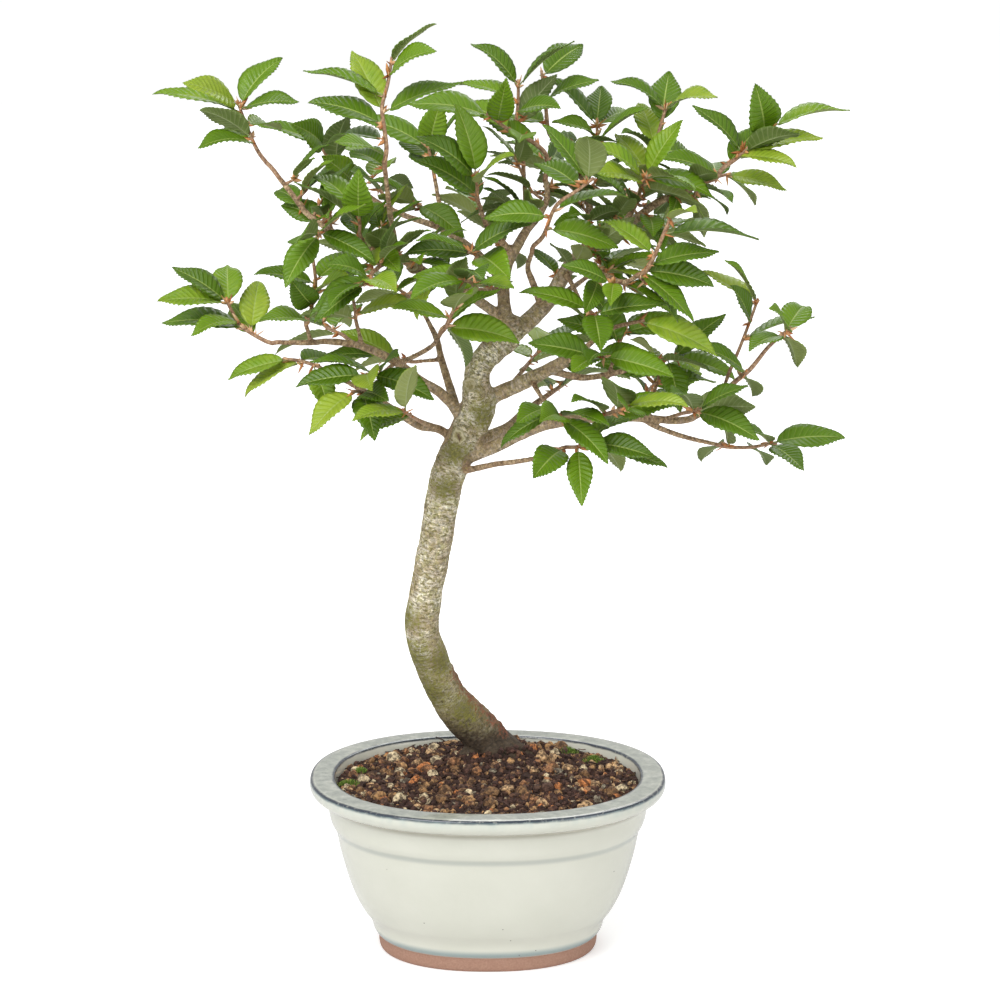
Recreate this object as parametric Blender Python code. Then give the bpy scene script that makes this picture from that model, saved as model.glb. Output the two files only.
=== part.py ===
"""Hornbeam bonsai in an oval glazed pot.

The origin is the centre of the pot's flat underside. X runs along the pot's long
side, Y runs to the back and Z is up. Sizes in the lists are millimetres, and the
objects are made in metres.

A leaning trunk forks into limbs and branches, which are one piece of wood. Each
leafy shoot starts where its branch ends, and is one piece with its leaves.
"""

import math
import random

import bmesh
import bpy
from mathutils import Vector
from mathutils.bvhtree import BVHTree

MM = 0.001
GAP = 0.35
SHOOT_GAP = 0.6
STRAIGHT_START = 6.0

# The pot, as offsets inward from the rim's outer line.
POT_HALF_LENGTH = 101.5
POT_HALF_DEPTH = 86.0
POT_HEIGHT = 102.0
POT_ROUNDNESS = 2.2
POT_SEGMENTS = 24
FLOOR_HEIGHT = 12.0
RIM_WIDTH = 14.5
POT_OUTSIDE = [
    (38.6, 0.0), (38.4, 8.6), (36.4, 9.4), (34.2, 15.6), (30.2, 22.5), (22.8, 37.6),
    (16.8, 59.5), (15.2, 66.0), (12.4, 69.6), (10.4, 82.0), (5.6, 86.2), (1.6, 89.8),
    (0.0, 93.0), (0.1, 100.7), (1.3, POT_HEIGHT),
]
POT_INSIDE = [
    (RIM_WIDTH - 1.2, POT_HEIGHT), (RIM_WIDTH, POT_HEIGHT - 1.2), (17.0, 84.0), (24.0, 58.0),
    (43.0, FLOOR_HEIGHT),
]
DRAIN_X = 32.0
DRAIN_RADIUS = 7.0
SCREEN_SIZE = 24.0
SCREEN_THICKNESS = 0.8

# The soil, mounded up to the trunk's foot.
SOIL_EDGE_HEIGHT = 96.5
SOIL_MOUND = 6.4
SOIL_MOUND_REACH = 38.0
SOIL_RINGS = (1.0, 0.78, 0.52, 0.26)
SOIL_LUMP = 0.7
SOIL_INSET = 0.8
TRUNK_FOOT = (1.0, 42.0)
TRUNK_FOOT_RADIUS = 15.1
TRUNK_FOOT_BOTTOM = 68.0

# The trunk's axis and radius, from just above the soil up to the fork.
TRUNK = [
    (1, 42, 108, 14.7), (-14, 37, 125, 12.0),
    (-24, 32, 139, 10.9), (-35, 22, 168, 10.2), (-38, 18, 185, 9.8), (-33, 12, 215, 9.6),
    (-28, 7, 243, 9.5), (-23, 4, 271, 9.8), (-13, 4, 295, 9.8), (-5, 2, 313, 9.8),
    (-6, 0, 326, 7.8), (-4, 1, 336, 7.0), (4, 3, 345, 7.4), (15, 4, 352, 6.4),
]

# Limbs and branches: name, sides, radius at the start and at the end, and the axis.
# Each starts on its parent's axis. A route whose name has a shoot ends in that
# shoot's flat foot.
BRANCHES = [
    ("leader_left", 6, 4.2, 1.5, [(13, 4, 349), (10, 0, 363), (9, 2, 379), (11, 5, 391),
        (16, 8, 400), (22, 10, 410), (28, 12, 417), (33, 14, 427), (32, 14, 438)]),
    ("leader_right", 6, 5.0, 1.4, [(14, 4, 352), (27, 6, 364), (35, 8, 373), (46, 11, 391),
        (54, 13, 397), (73, 17, 408), (91, 20, 422), (100, 19, 427), (121, 14, 436)]),
    ("b1", 4, 2.3, 1.3, [(30, 7, 368), (25, -8, 382), (22, -17, 391), (24, -28, 400)]),
    ("b2", 6, 2.6, 1.4, [(54, 13, 397), (56, 25, 410), (57, 32, 424), (55, 36, 433),
        (48, 38, 444), (40, 40, 454)]),
    ("b2_spur", 4, 1.6, 1.2, [(55, 36, 433), (58, 41, 440)]),
    ("b3", 4, 2.0, 1.3, [(73, 17, 408), (82, 28, 422), (87, 36, 435)]),
    ("b3_side_spur", 4, 1.4, 1.1, [(82, 28, 422), (84, 14, 430)]),
    ("r_spur", 4, 1.6, 1.1, [(43, 10, 387), (48, -8, 378), (50, -18, 374)]),
    ("b5", 4, 2.3, 1.3, [(47, 11, 392), (61, -18, 388), (73, -37, 385), (80, -48, 390)]),
    ("b_spur", 4, 1.5, 1.1, [(109, 17, 429), (117, 26, 433)]),
    ("top_spur", 4, 1.8, 1.2, [(22, 10, 410), (21, 15, 426), (20, 19, 442)]),
    ("limb_c", 6, 3.0, 1.3, [(10, 0, 361), (-2, -5, 370), (-11, -10, 377), (-30, -16, 387),
        (-50, -24, 398), (-64, -26, 401), (-77, -28, 408), (-95, -28, 420),
        (-103, -26, 430), (-111, -24, 440)]),
    ("c_spur", 4, 1.5, 1.1, [(-64, -26, 401), (-66, -33, 407)]),
    ("c_low_spur", 4, 1.5, 1.1, [(-84, -28, 412), (-88, -40, 412)]),
    ("c_front_spur", 4, 1.9, 1.2, [(-48, -23, 397), (-55, -44, 395), (-58, -56, 393)]),
    ("limb_d", 6, 2.6, 1.3, [(9, 2, 381), (-2, 15, 393), (-11, 25, 400), (-27, 38, 409),
        (-46, 48, 415), (-60, 53, 421), (-73, 56, 430)]),
    ("d_spur", 4, 1.4, 1.1, [(-54, 51, 418), (-59, 60, 425)]),
    ("d2", 4, 1.8, 1.2, [(-23, 35, 407), (-27, 45, 421), (-30, 52, 436)]),
    ("d_inner_spur", 4, 1.5, 1.1, [(-30, 40, 410), (-33, 28, 417)]),
    ("e", 4, 1.8, 1.3, [(-48, -23, 398), (-50, -40, 415), (-51, -53, 428), (-52, -62, 443)]),
    ("g", 4, 2.1, 1.2, [(14, 6, 396), (7, 0, 405), (0, -12, 413), (-4, -25, 425)]),
    ("limb_h", 6, 3.2, 1.3, [(-12, 4, 301), (-20, 3, 314), (-28, 0, 322), (-37, -4, 328),
        (-50, -10, 339), (-68, -14, 348), (-86, -16, 351), (-98, -14, 350), (-114, -11, 350)]),
    ("h_spur", 4, 1.5, 1.2, [(-96, -14, 350), (-97, -22, 358)]),
    ("h_mid_spur", 4, 1.5, 1.1, [(-68, -14, 348), (-70, -18, 358)]),
    ("h_low_spur", 4, 1.5, 1.1, [(-50, -10, 339), (-55, -24, 336)]),
    ("limb_i", 6, 3.0, 1.3, [(-15, 4, 304), (-20, 14, 318), (-26, 26, 336), (-29, 34, 347),
        (-36, 48, 359)]),
    ("i_low_spur", 4, 1.5, 1.1, [(-26, 26, 336), (-38, 34, 334)]),
    ("limb_j", 6, 2.6, 1.2, [(-16, 5, 290), (-26, 6, 299), (-36, 4, 301), (-43, 0, 305),
        (-59, -10, 318), (-73, -16, 327), (-84, -18, 333)]),
    ("j_spur", 4, 1.5, 1.1, [(-58, -9, 317), (-62, -22, 319)]),
    ("j_front_spur", 4, 2.0, 1.2, [(-26, 6, 299), (-34, -16, 306), (-36, -28, 309)]),
    ("limb_k", 4, 1.7, 1.2, [(-50, -10, 339), (-42, -28, 343), (-29, -45, 352),
        (-24, -54, 360)]),
    ("limb_l", 6, 4.6, 3.3, [(-4, 2, 315), (11, 3, 322), (24, -4, 329), (36, -9, 336),
        (43, -12, 340)]),
    ("l1", 4, 1.9, 1.3, [(36, -9, 336), (48, -16, 343), (57, -25, 352), (63, -32, 357)]),
    ("l1_spur", 4, 1.4, 1.1, [(50, -18, 345), (54, -32, 344)]),
    ("l2", 6, 2.2, 1.2, [(34, -8, 334), (46, -7, 331), (57, -6, 330), (78, 4, 333),
        (89, 9, 337)]),
    ("l2_spur", 4, 1.4, 1.1, [(66, -3, 329), (70, 6, 338)]),
    ("l_under_spur", 4, 1.6, 1.1, [(24, -4, 329), (29, -20, 322), (33, -31, 319)]),
    ("limb_m", 6, 4.2, 1.5, [(-20, 4, 281), (3, 0, 290), (14, -3, 296), (27, -5, 302),
        (43, -6, 306), (74, -6, 308), (106, -6, 306), (117, -8, 310), (125, -10, 316),
        (130, -12, 323)]),
    ("m_spur", 4, 1.4, 1.1, [(128, -11, 320), (132, -2, 328)]),
    ("m_up_spur", 4, 1.5, 1.1, [(88, -6, 307), (92, 4, 318)]),
    ("m_mid_spur", 4, 1.4, 1.1, [(98, -6, 307), (104, -18, 311)]),
    ("limb_n", 4, 2.0, 1.2, [(-22, 4, 274), (3, -10, 282), (14, -19, 285), (27, -29, 289),
        (38, -39, 295)]),
    ("limb_o", 4, 1.8, 1.2, [(86, -6, 307), (94, -3, 302), (110, 6, 295), (130, 15, 289)]),
    ("limb_p", 6, 4.0, 1.6, [(-15, 4, 291), (0, 14, 294), (11, 24, 297), (21, 40, 304),
        (33, 58, 310)]),
    ("back_high", 4, 1.9, 1.2, [(11, 5, 391), (8, 28, 397), (2, 52, 404)]),
    ("back_right", 4, 2.2, 1.3, [(35, 8, 373), (45, 34, 374), (56, 58, 379)]),
    ("back_low", 4, 2.3, 1.3, [(-4, 2, 317), (10, 28, 318), (20, 54, 326)]),
    ("back_left", 4, 2.0, 1.2, [(-32, -17, 388), (-37, 12, 389), (-46, 38, 390)]),
    ("back_outer", 4, 1.8, 1.2, [(73, 17, 408), (84, 42, 404), (90, 56, 402)]),
    ("back_top", 4, 1.7, 1.1, [(56, 31, 423), (49, 52, 430), (44, 64, 434)]),
    ("back_m", 4, 1.8, 1.2, [(74, -6, 308), (80, 16, 308), (86, 34, 310)]),
    ("back_h", 4, 1.8, 1.2, [(-66, -14, 347), (-74, 8, 347), (-80, 24, 349)]),
    ("front_high", 4, 1.9, 1.2, [(9, 1, 377), (2, -22, 379), (-3, -38, 381)]),
    ("a_front_spur", 4, 1.5, 1.1, [(10, 4, 387), (2, -10, 392)]),
    ("front_right", 4, 1.8, 1.2, [(48, -7, 306), (54, -26, 310), (60, -42, 314)]),
]

# Bark swellings where branches were cut off or join: centre and three radii.
KNOTS = [
    ((-13, -5, 298), (6.2, 4.4, 6.6)), ((-6, -6, 320), (5.4, 4.2, 7.0)),
    ((-39, -20, 392), (4.6, 4.4, 4.2)), ((14, 0, 358), (6.6, 5.6, 6.0)),
    ((1, 3, 342), (7.6, 6.4, 6.4)), ((-36, 10, 201), (4.6, 4.2, 6.0)),
]

# Leafy shoots: name, the branch that it grows from, how many leaves, its axis
# after the branch's end, and the leaves that are placed one by one. Such a leaf is
# its place along the axis from 0 to 1, its heading as seen from the front in
# degrees (0 to the right, 90 up), its length, how many degrees it leans towards
# the front, and how far its face turns from the sky to the front.
SHOOTS = [
    ("c_tip", "limb_c", 8, [(-118, -22, 448), (-123, -20, 455), (-129, -18, 469),
        (-133, -16, 480)],
        [(0.84, 165, 49, 0, 20), (0.98, 152, 40, 40, 50), (1.0, 50, 38, -30, 20),
         (0.9, 5, 36, 25, 30), (0.54, 175, 34, -45, 25), (0.46, 185, 41, 45, 25),
         (0.7, -10, 36, -60, 25)]),
    ("c_mid", "c_spur", 4, [(-67, -38, 416), (-68, -42, 423)],
        [(0.7, 90, 36, 35, 75), (1.0, 145, 40, -25, 20), (0.3, 135, 38, 60, 30)]),
    ("c_low", "c_low_spur", 4, [(-88, -54, 412), (-86, -66, 412)],
        [(0.9, 240, 36, 30, 40), (0.4, -25, 36, 20, 40)]),
    ("c_front", "c_front_spur", 5, [(-60, -72, 389), (-62, -88, 388)],
        [(0.9, 215, 36, 30, 30), (0.5, 150, 36, 45, 35)]),
    ("d_tip", "limb_d", 6, [(-82, 58, 439), (-92, 58, 449), (-96, 58, 458)],
        [(0.9, 165, 39, 0, 30), (1.0, 140, 40, 55, 50), (0.85, -10, 38, -50, 25),
         (0.15, 135, 36, 50, 60), (0.3, 200, 34, -35, 30)]),
    ("d_low", "d_spur", 4, [(-65, 68, 432), (-68, 76, 436)],
        [(0.3, 145, 34, 50, 30)]),
    ("d2_tip", "d2", 6, [(-32, 56, 446), (-34, 58, 455)],
        [(1.0, 75, 36, 35, 85), (0.9, 155, 43, 0, 30), (0.6, 150, 38, -50, 30),
         (0.1, 15, 36, 40, 30), (0.2, 140, 34, -60, 35)]),
    ("d_inner", "d_inner_spur", 4, [(-37, 12, 422), (-40, 2, 425)],
        [(0.5, 150, 36, 20, 25), (0.8, -30, 38, 30, 30)]),
    ("f_tip", "e", 9, [(-51, -68, 456), (-52, -70, 466), (-53, -70, 477), (-50, -68, 489),
        (-48, -64, 502)],
        [(1.0, 40, 34, 20, 15), (0.84, 30, 40, 50, 40), (0.66, 165, 44, 0, 20),
         (0.42, 160, 41, 0, 25), (0.52, 20, 44, 0, 25), (0.3, 185, 41, -40, 20),
         (0.16, 160, 39, 50, 25), (0.05, 165, 37, -60, 25)]),
    ("g_tip", "g", 6, [(-5, -33, 435), (-6, -39, 443)],
        [(1.0, 110, 40, 0, 60), (0.56, 40, 40, 50, 30), (0.1, 135, 38, -55, 30)]),
    ("orange_twig", "leader_left", 6, [(32, 13, 451), (24, 8, 458), (12, -3, 464),
        (0, -12, 473)],
        [(0.86, 75, 36, 45, 85), (1.0, 170, 46, 0, 25), (0.68, 150, 38, -35, 20),
         (0.52, 200, 36, 50, 25), (0.32, 150, 39, -10, 30)]),
    ("top_middle", "top_spur", 6, [(17, 21, 457), (16, 22, 468), (17, 22, 480),
        (17, 20, 491)],
        [(1.0, 135, 36, 0, 45), (0.97, 40, 40, 10, 20), (0.84, 20, 38, -45, 25),
         (0.62, 5, 36, 50, 25), (0.74, 160, 36, -15, 25)]),
    ("b2_tip", "b2", 6, [(34, 42, 463), (33, 42, 472), (32, 40, 482), (30, 38, 496)],
        [(1.0, 140, 36, 25, 25), (0.93, 35, 40, -45, 40), (0.21, 140, 38, 50, 25),
         (0.34, 175, 36, -45, 25), (0.64, 20, 36, 35, 25)]),
    ("b2_side", "b2_spur", 6, [(61, 49, 449), (62, 56, 458), (62, 60, 469)],
        [(1.0, 135, 44, 0, 25), (0.92, 150, 40, 40, 30), (1.0, 80, 38, -55, 30),
         (0.7, 165, 36, 40, 30), (0.88, 20, 36, -50, 25), (0.6, 35, 41, 35, 30)]),
    ("b1_shoot", "b1", 7, [(30, -40, 410), (36, -54, 426), (46, -62, 434), (55, -68, 441)],
        [(1.0, 125, 38, 0, 35), (0.95, 95, 40, 55, 30), (0.86, 150, 38, -45, 30),
         (0.82, 25, 36, 40, 25), (0.45, 180, 36, 0, 40), (0.32, -15, 41, -10, 30)]),
    ("b3_tip", "b3", 7, [(91, 40, 446), (94, 42, 454), (98, 44, 469), (101, 45, 478)],
        [(1.0, 150, 36, 0, 15), (0.97, 15, 40, 50, 25), (0.45, 105, 38, -45, 35),
         (0.36, 150, 36, 50, 30), (0.12, 130, 36, -40, 30)]),
    ("b3_side", "b3_side_spur", 6, [(85, 2, 436), (86, -12, 440)],
        [(1.0, 60, 38, 20, 40), (0.7, 150, 40, 10, 30), (0.8, -15, 40, 0, 35)]),
    ("b_tip", "leader_right", 8, [(129, 12, 443), (137, 10, 449), (147, 10, 458),
        (158, 10, 468)],
        [(1.0, 15, 45, 0, 20), (0.54, 8, 44, 0, 20), (0.4, -10, 38, 35, 15),
         (0.28, 45, 36, -35, 50), (0.5, 135, 38, 0, 30), (0.82, 110, 41, 45, 75),
         (0.66, 160, 39, -50, 25)]),
    ("b_low", "b_spur", 5, [(127, 36, 437), (137, 46, 439)],
        [(0.98, -15, 36, 25, 35), (0.9, -45, 38, -45, 30), (0.6, 165, 38, 20, 30),
         (0.15, 205, 36, -60, 25)]),
    ("r_inner", "r_spur", 5, [(54, -32, 370), (58, -46, 368)],
        [(0.6, 165, 40, 0, 40), (0.9, 10, 40, 10, 40)]),
    ("l_shoot", "b5", 7, [(85, -55, 395), (89, -61, 405), (92, -63, 413), (96, -64, 423)],
        [(1.0, 25, 30, 62, 20), (0.72, -3, 50, 0, 20), (0.4, 145, 38, -25, 25),
         (0.22, 12, 38, 0, 35), (0.08, -10, 40, 0, 50), (0.02, -40, 41, 25, 20)]),
    ("h_tip", "limb_h", 8, [(-134, -8, 358), (-139, -8, 366), (-143, -8, 374)],
        [(0.96, 145, 36, 0, 25), (1.0, 178, 40, 25, 25), (0.5, 178, 47, 0, 20),
         (0.9, 100, 36, -55, 25), (0.62, 195, 36, 50, 25), (0.4, 85, 40, -45, 85)]),
    ("h_up", "h_spur", 8, [(-95, -28, 367), (-93, -33, 375), (-91, -36, 384),
        (-92, -38, 397)],
        [(0.4, 120, 36, 55, 85), (0.25, 30, 41, 0, 25), (0.3, 5, 38, -30, 25),
         (0.55, 25, 36, 45, 25), (0.74, 30, 36, -50, 20), (1.0, 95, 40, -30, 65),
         (0.7, 165, 37, 30, 25), (0.12, 175, 38, 50, 30)]),
    ("h_mid", "h_mid_spur", 5, [(-71, -22, 367), (-72, -25, 375)],
        [(0.9, 140, 36, 30, 25), (0.5, 10, 38, 30, 30)]),
    ("h_low", "h_low_spur", 5, [(-60, -38, 336), (-66, -50, 337)],
        [(0.7, -20, 38, 10, 40), (1.0, 190, 38, 10, 35)]),
    ("j_tip", "limb_j", 6, [(-92, -20, 338), (-102, -20, 341), (-111, -20, 342)],
        [(1.0, 195, 36, 0, 25), (0.9, 215, 40, 20, 30), (0.6, 208, 39, 0, 30),
         (0.72, -15, 36, -60, 25), (0.4, -65, 36, 45, 30)]),
    ("j_mid", "j_spur", 4, [(-66, -38, 326), (-71, -54, 329)],
        [(1.0, 225, 36, 25, 40), (0.8, 105, 38, -50, 30), (0.55, -70, 38, 55, 35)]),
    ("j_front", "j_front_spur", 4, [(-40, -44, 314), (-44, -58, 319)],
        [(0.6, 150, 34, 50, 50), (0.9, 75, 36, 30, 30)]),
    ("k_tip", "limb_k", 7, [(-19, -62, 369), (-15, -67, 377)],
        [(1.0, 38, 40, 0, 30), (0.5, 165, 40, 45, 25), (0.15, -8, 42, 10, 45),
         (0.9, 80, 36, 40, 20), (0.25, -70, 38, -40, 30)]),
    ("i_tip", "limb_i", 5, [(-46, 72, 367), (-56, 92, 372)], []),
    ("i_low", "i_low_spur", 5, [(-50, 40, 334), (-62, 46, 335)],
        [(0.5, 150, 38, 0, 40), (0.9, 185, 38, 0, 30)]),
    ("l1_tip", "l1", 5, [(73, -42, 363), (83, -50, 366)],
        [(1.0, 140, 36, 0, 60), (0.75, 165, 42, 0, 30), (0.95, -20, 46, 0, 35)]),
    ("l1_low", "l1_spur", 5, [(58, -46, 346), (62, -58, 348)],
        [(0.6, 170, 40, 10, 40), (0.9, -15, 40, 10, 45)]),
    ("l2_tip", "l2", 6, [(98, 13, 338), (108, 16, 338)],
        [(0.6, -80, 36, 40, 30), (1.0, -25, 42, -25, 30), (0.2, -95, 38, 25, 35),
         (0.8, 40, 40, -20, 35)]),
    ("l2_up", "l2_spur", 5, [(74, 16, 347), (78, 28, 354)],
        [(0.6, 165, 38, 0, 40), (0.8, 10, 38, 0, 40)]),
    ("l_under", "l_under_spur", 5, [(37, -46, 316), (39, -60, 315)],
        [(0.5, 215, 36, 0, 30), (0.9, -40, 38, 30, 30)]),
    ("m_tip", "limb_m", 7, [(137, -14, 330), (144, -14, 336), (153, -12, 347),
        (160, -10, 353), (166, -8, 358)],
        [(0.97, 125, 36, 55, 35), (1.0, 40, 38, -58, 30), (0.85, 195, 38, 50, 25),
         (0.9, -60, 36, -50, 25), (0.57, 135, 36, 55, 30), (0.24, -60, 40, -60, 30),
         (0.3, 150, 39, 35, 30)]),
    ("m_up", "m_spur", 4, [(140, 12, 343), (147, 22, 358), (152, 28, 370)],
        [(1.0, 125, 36, 30, 25), (0.94, 155, 40, -20, 15), (0.72, 120, 38, 50, 50)]),
    ("m_mid", "m_mid_spur", 4, [(110, -34, 315), (114, -44, 318)],
        [(0.7, -20, 40, 20, 30), (1.0, 30, 36, 30, 30)]),
    ("m_inner", "m_up_spur", 5, [(96, 14, 328), (100, 24, 337)],
        [(0.6, 170, 38, 0, 40), (0.8, -10, 38, 0, 40)]),
    ("n_tip", "limb_n", 7, [(48, -47, 298), (59, -55, 302)],
        [(0.5, -85, 36, 42, 60), (1.0, -50, 40, -45, 20), (0.85, -5, 38, 30, 25),
         (1.0, -22, 42, 0, 25), (0.06, 185, 36, -40, 25), (0.12, -150, 38, 60, 25)]),
    ("o_tip", "limb_o", 7, [(140, 18, 287), (150, 20, 287), (164, 24, 289)],
        [(1.0, 3, 44, 0, 25), (0.9, 150, 38, 50, 25), (0.5, -45, 38, -50, 30),
         (0.95, -35, 36, 62, 20), (0.1, -125, 36, -55, 30), (0.15, 120, 38, 50, 30)]),
    ("p_tip", "limb_p", 6, [(45, 80, 315), (54, 98, 319)], []),
    ("back_high_tip", "back_high", 5, [(-4, 78, 412), (-8, 98, 416)], []),
    ("back_right_tip", "back_right", 5, [(66, 82, 384), (74, 102, 386)], []),
    ("back_low_tip", "back_low", 5, [(28, 80, 332), (33, 100, 336)], []),
    ("back_left_tip", "back_left", 5, [(-58, 60, 392), (-70, 80, 394)], []),
    ("back_outer_tip", "back_outer", 5, [(98, 78, 404), (106, 94, 406)], []),
    ("back_top_tip", "back_top", 6, [(36, 84, 442), (30, 98, 446)], []),
    ("back_m_tip", "back_m", 5, [(94, 58, 315), (100, 74, 318)], []),
    ("back_h_tip", "back_h", 5, [(-92, 46, 352), (-98, 60, 355)], []),
    ("front_high_tip", "front_high", 5, [(-8, -62, 387), (-12, -84, 390)], []),
    ("a_front", "a_front_spur", 4, [(-4, -24, 398), (-10, -38, 401)],
        [(0.6, 175, 40, 0, 40), (0.9, 30, 38, 10, 40)]),
    ("front_right_tip", "front_right", 5, [(68, -64, 320), (74, -80, 324)], []),
]

# A leaf: a short stalk, then a blade with a fold along the rib and an uneven edge.
# An edge station is its share of the blade's length and its wave, a width factor.
STALK_SHARE = 0.09
STALK_SINK = 0.5
STALK_RADIUS = 0.6
RIB_THICKNESS = 1.3
LEAF_SLENDERNESS = 0.44
LEAF_LENGTHS = (34.0, 44.0)
LEAF_ARCHES = (0.35, 0.85)
LEAF_FOLDS = (12.0, 24.0)
EDGE_STATIONS = ((0.13, 1.0), (0.37, 1.05), (0.59, 0.93), (0.80, 1.05))
RIB_STATIONS = (0.36, 0.68)

# How leaves are placed: how far the first and last stand along a shoot, how far
# their roots are sunk from its end, and the space that they keep to other pieces.
FIRST_LEAF_SHARE = 0.12
LAST_LEAF_SHARE = 0.92
ROOT_SINK = 0.25
CLEARANCE = 0.45
OWN_CLEARANCE = 0.15
WOOD_CLEARANCE = 0.2
TRIES = 16

# How finely the wood is drawn.
TWIG_END_RADIUS = 0.85
TRUNK_SPACING = 14.0
TRUNK_SIDES = 10
BRANCH_SPACING = 18.0
SHOOT_SPACING = 15.0
SHOOT_SIDES = 4
CURVE_STEPS = 8

PALE_GLAZE = (0.76, 0.78, 0.68, 1.0)
DARK_SOIL = (0.045, 0.026, 0.018, 1.0)
SCREEN_BLACK = (0.02, 0.02, 0.02, 1.0)
GREY_BARK = (0.42, 0.39, 0.31, 1.0)
LEAF_GREEN = (0.08, 0.22, 0.03, 1.0)


def clear_scene():
    """Remove whatever the scene holds."""
    for item in list(bpy.data.objects):
        bpy.data.objects.remove(item, do_unlink=True)


def new_collection(name, parent=None):
    """Make a collection under the scene or under another collection."""
    group = bpy.data.collections.new(name)
    (parent or bpy.context.scene.collection).children.link(group)
    return group


def new_material(name, colour, roughness):
    """Make a Principled material."""
    material = bpy.data.materials.new(name)
    material.use_nodes = True
    shader = material.node_tree.nodes["Principled BSDF"]
    shader.inputs["Base Color"].default_value = colour
    shader.inputs["Roughness"].default_value = roughness
    shader.inputs["Metallic"].default_value = 0.0
    return material


def object_from_bmesh(name, bm, group, material):
    """Turn a bmesh in millimetres into an object in metres."""
    bmesh.ops.scale(bm, vec=(MM, MM, MM), verts=bm.verts)
    bmesh.ops.recalc_face_normals(bm, faces=bm.faces)
    mesh = bpy.data.meshes.new(name)
    bm.to_mesh(mesh)
    bm.free()
    mesh.materials.append(material)
    obj = bpy.data.objects.new(name, mesh)
    group.objects.link(obj)
    return obj


def apply_modifiers(obj):
    """Replace an object's mesh by the mesh that its modifiers make."""
    depsgraph = bpy.context.evaluated_depsgraph_get()
    mesh = bpy.data.meshes.new_from_object(obj.evaluated_get(depsgraph))
    old = obj.data
    obj.modifiers.clear()
    obj.data = mesh
    bpy.data.meshes.remove(old)


def join_all(obj, group, operation="UNION"):
    """Join a collection's objects to one object, then remove them."""
    cut = obj.modifiers.new(operation.lower(), "BOOLEAN")
    cut.operation = operation
    cut.operand_type = "COLLECTION"
    cut.collection = group
    apply_modifiers(obj)
    for item in list(group.objects):
        bpy.data.objects.remove(item, do_unlink=True)
    bpy.data.collections.remove(group)


def oval_ring(inset, height):
    """Points of the pot's oval plan, offset inward, at one height."""
    ring = []
    power = 2.0 / POT_ROUNDNESS
    for step in range(POT_SEGMENTS):
        angle = 2.0 * math.pi * step / POT_SEGMENTS
        cos_a = math.cos(angle)
        sin_a = math.sin(angle)
        x = (POT_HALF_LENGTH - inset) * math.copysign(abs(cos_a) ** power, cos_a)
        y = (POT_HALF_DEPTH - inset) * math.copysign(abs(sin_a) ** power, sin_a)
        ring.append(Vector((x, y, height)))
    return ring


def loft(rings):
    """Join rings of points by strips of faces, with the first and last closed."""
    bm = bmesh.new()
    loops = [[bm.verts.new(point) for point in ring] for ring in rings]
    for lower, upper in zip(loops, loops[1:]):
        count = len(lower)
        for i in range(count):
            j = (i + 1) % count
            bm.faces.new((lower[i], lower[j], upper[j], upper[i]))
    bm.faces.new(loops[0])
    bm.faces.new(loops[-1])
    return bm


def cylinder(name, centre, radius, bottom, top, sides, group, material):
    """A straight upright cylinder."""
    bm = bmesh.new()
    bmesh.ops.create_cone(bm, cap_ends=True, segments=sides, radius1=radius, radius2=radius,
                          depth=top - bottom)
    middle = Vector((centre[0], centre[1], (bottom + top) / 2.0))
    bmesh.ops.translate(bm, vec=middle, verts=bm.verts)
    return object_from_bmesh(name, bm, group, material)


def block(name, centre, size, group, material):
    """A rectangular block."""
    bm = bmesh.new()
    bmesh.ops.create_cube(bm, size=1.0)
    bmesh.ops.scale(bm, vec=size, verts=bm.verts)
    bmesh.ops.translate(bm, vec=centre, verts=bm.verts)
    return object_from_bmesh(name, bm, group, material)


def make_pot(group, material):
    """The oval pot, with two drain holes in its floor."""
    rings = [oval_ring(inset, height) for inset, height in POT_OUTSIDE + POT_INSIDE]
    pot = object_from_bmesh("pot", loft(rings), group, material)
    cutters = new_collection("drain_cutters")
    for side in (-1, 1):
        cylinder("drain_cutter", (side * DRAIN_X, 0.0), DRAIN_RADIUS, -5.0,
                 FLOOR_HEIGHT + 5.0, 16, cutters, material)
    join_all(pot, cutters, "DIFFERENCE")
    pot.data.shade_smooth()
    pot.data.set_sharp_from_angle(angle=math.radians(35.0))
    return pot


def soil_height(x, y, rng):
    """Height of the soil: a low mound round the trunk, with small lumps."""
    away = math.hypot(x - TRUNK_FOOT[0], y - TRUNK_FOOT[1])
    mound = SOIL_MOUND * math.exp(-(away / SOIL_MOUND_REACH) ** 2)
    return SOIL_EDGE_HEIGHT + mound + rng.uniform(-SOIL_LUMP, SOIL_LUMP)


def make_soil(group, material):
    """Soil that fills the pot, with a plain hole for the trunk's foot."""
    rng = random.Random(11)
    rings = [oval_ring(inset + GAP, height + GAP) for inset, height in reversed(POT_INSIDE[2:])]
    edge = oval_ring(RIM_WIDTH + GAP + SOIL_INSET, SOIL_EDGE_HEIGHT)
    for share in SOIL_RINGS:
        ring = []
        for point in edge:
            x = point.x * share
            y = point.y * share
            ring.append(Vector((x, y, soil_height(x, y, rng))))
        rings.append(ring)
    soil = object_from_bmesh("soil", loft(rings), group, material)
    cutters = new_collection("soil_cutters")
    cylinder("foot_cutter", TRUNK_FOOT, TRUNK_FOOT_RADIUS + GAP, TRUNK_FOOT_BOTTOM,
             POT_HEIGHT + 40.0, 16, cutters, material)
    for side in (-1, 1):
        size = (SCREEN_SIZE + 2 * GAP, SCREEN_SIZE + 2 * GAP, 2.0 * (SCREEN_THICKNESS + 3 * GAP))
        block("screen_cutter", (side * DRAIN_X, 0.0, FLOOR_HEIGHT), size, cutters, material)
    join_all(soil, cutters, "DIFFERENCE")
    return soil


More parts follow.
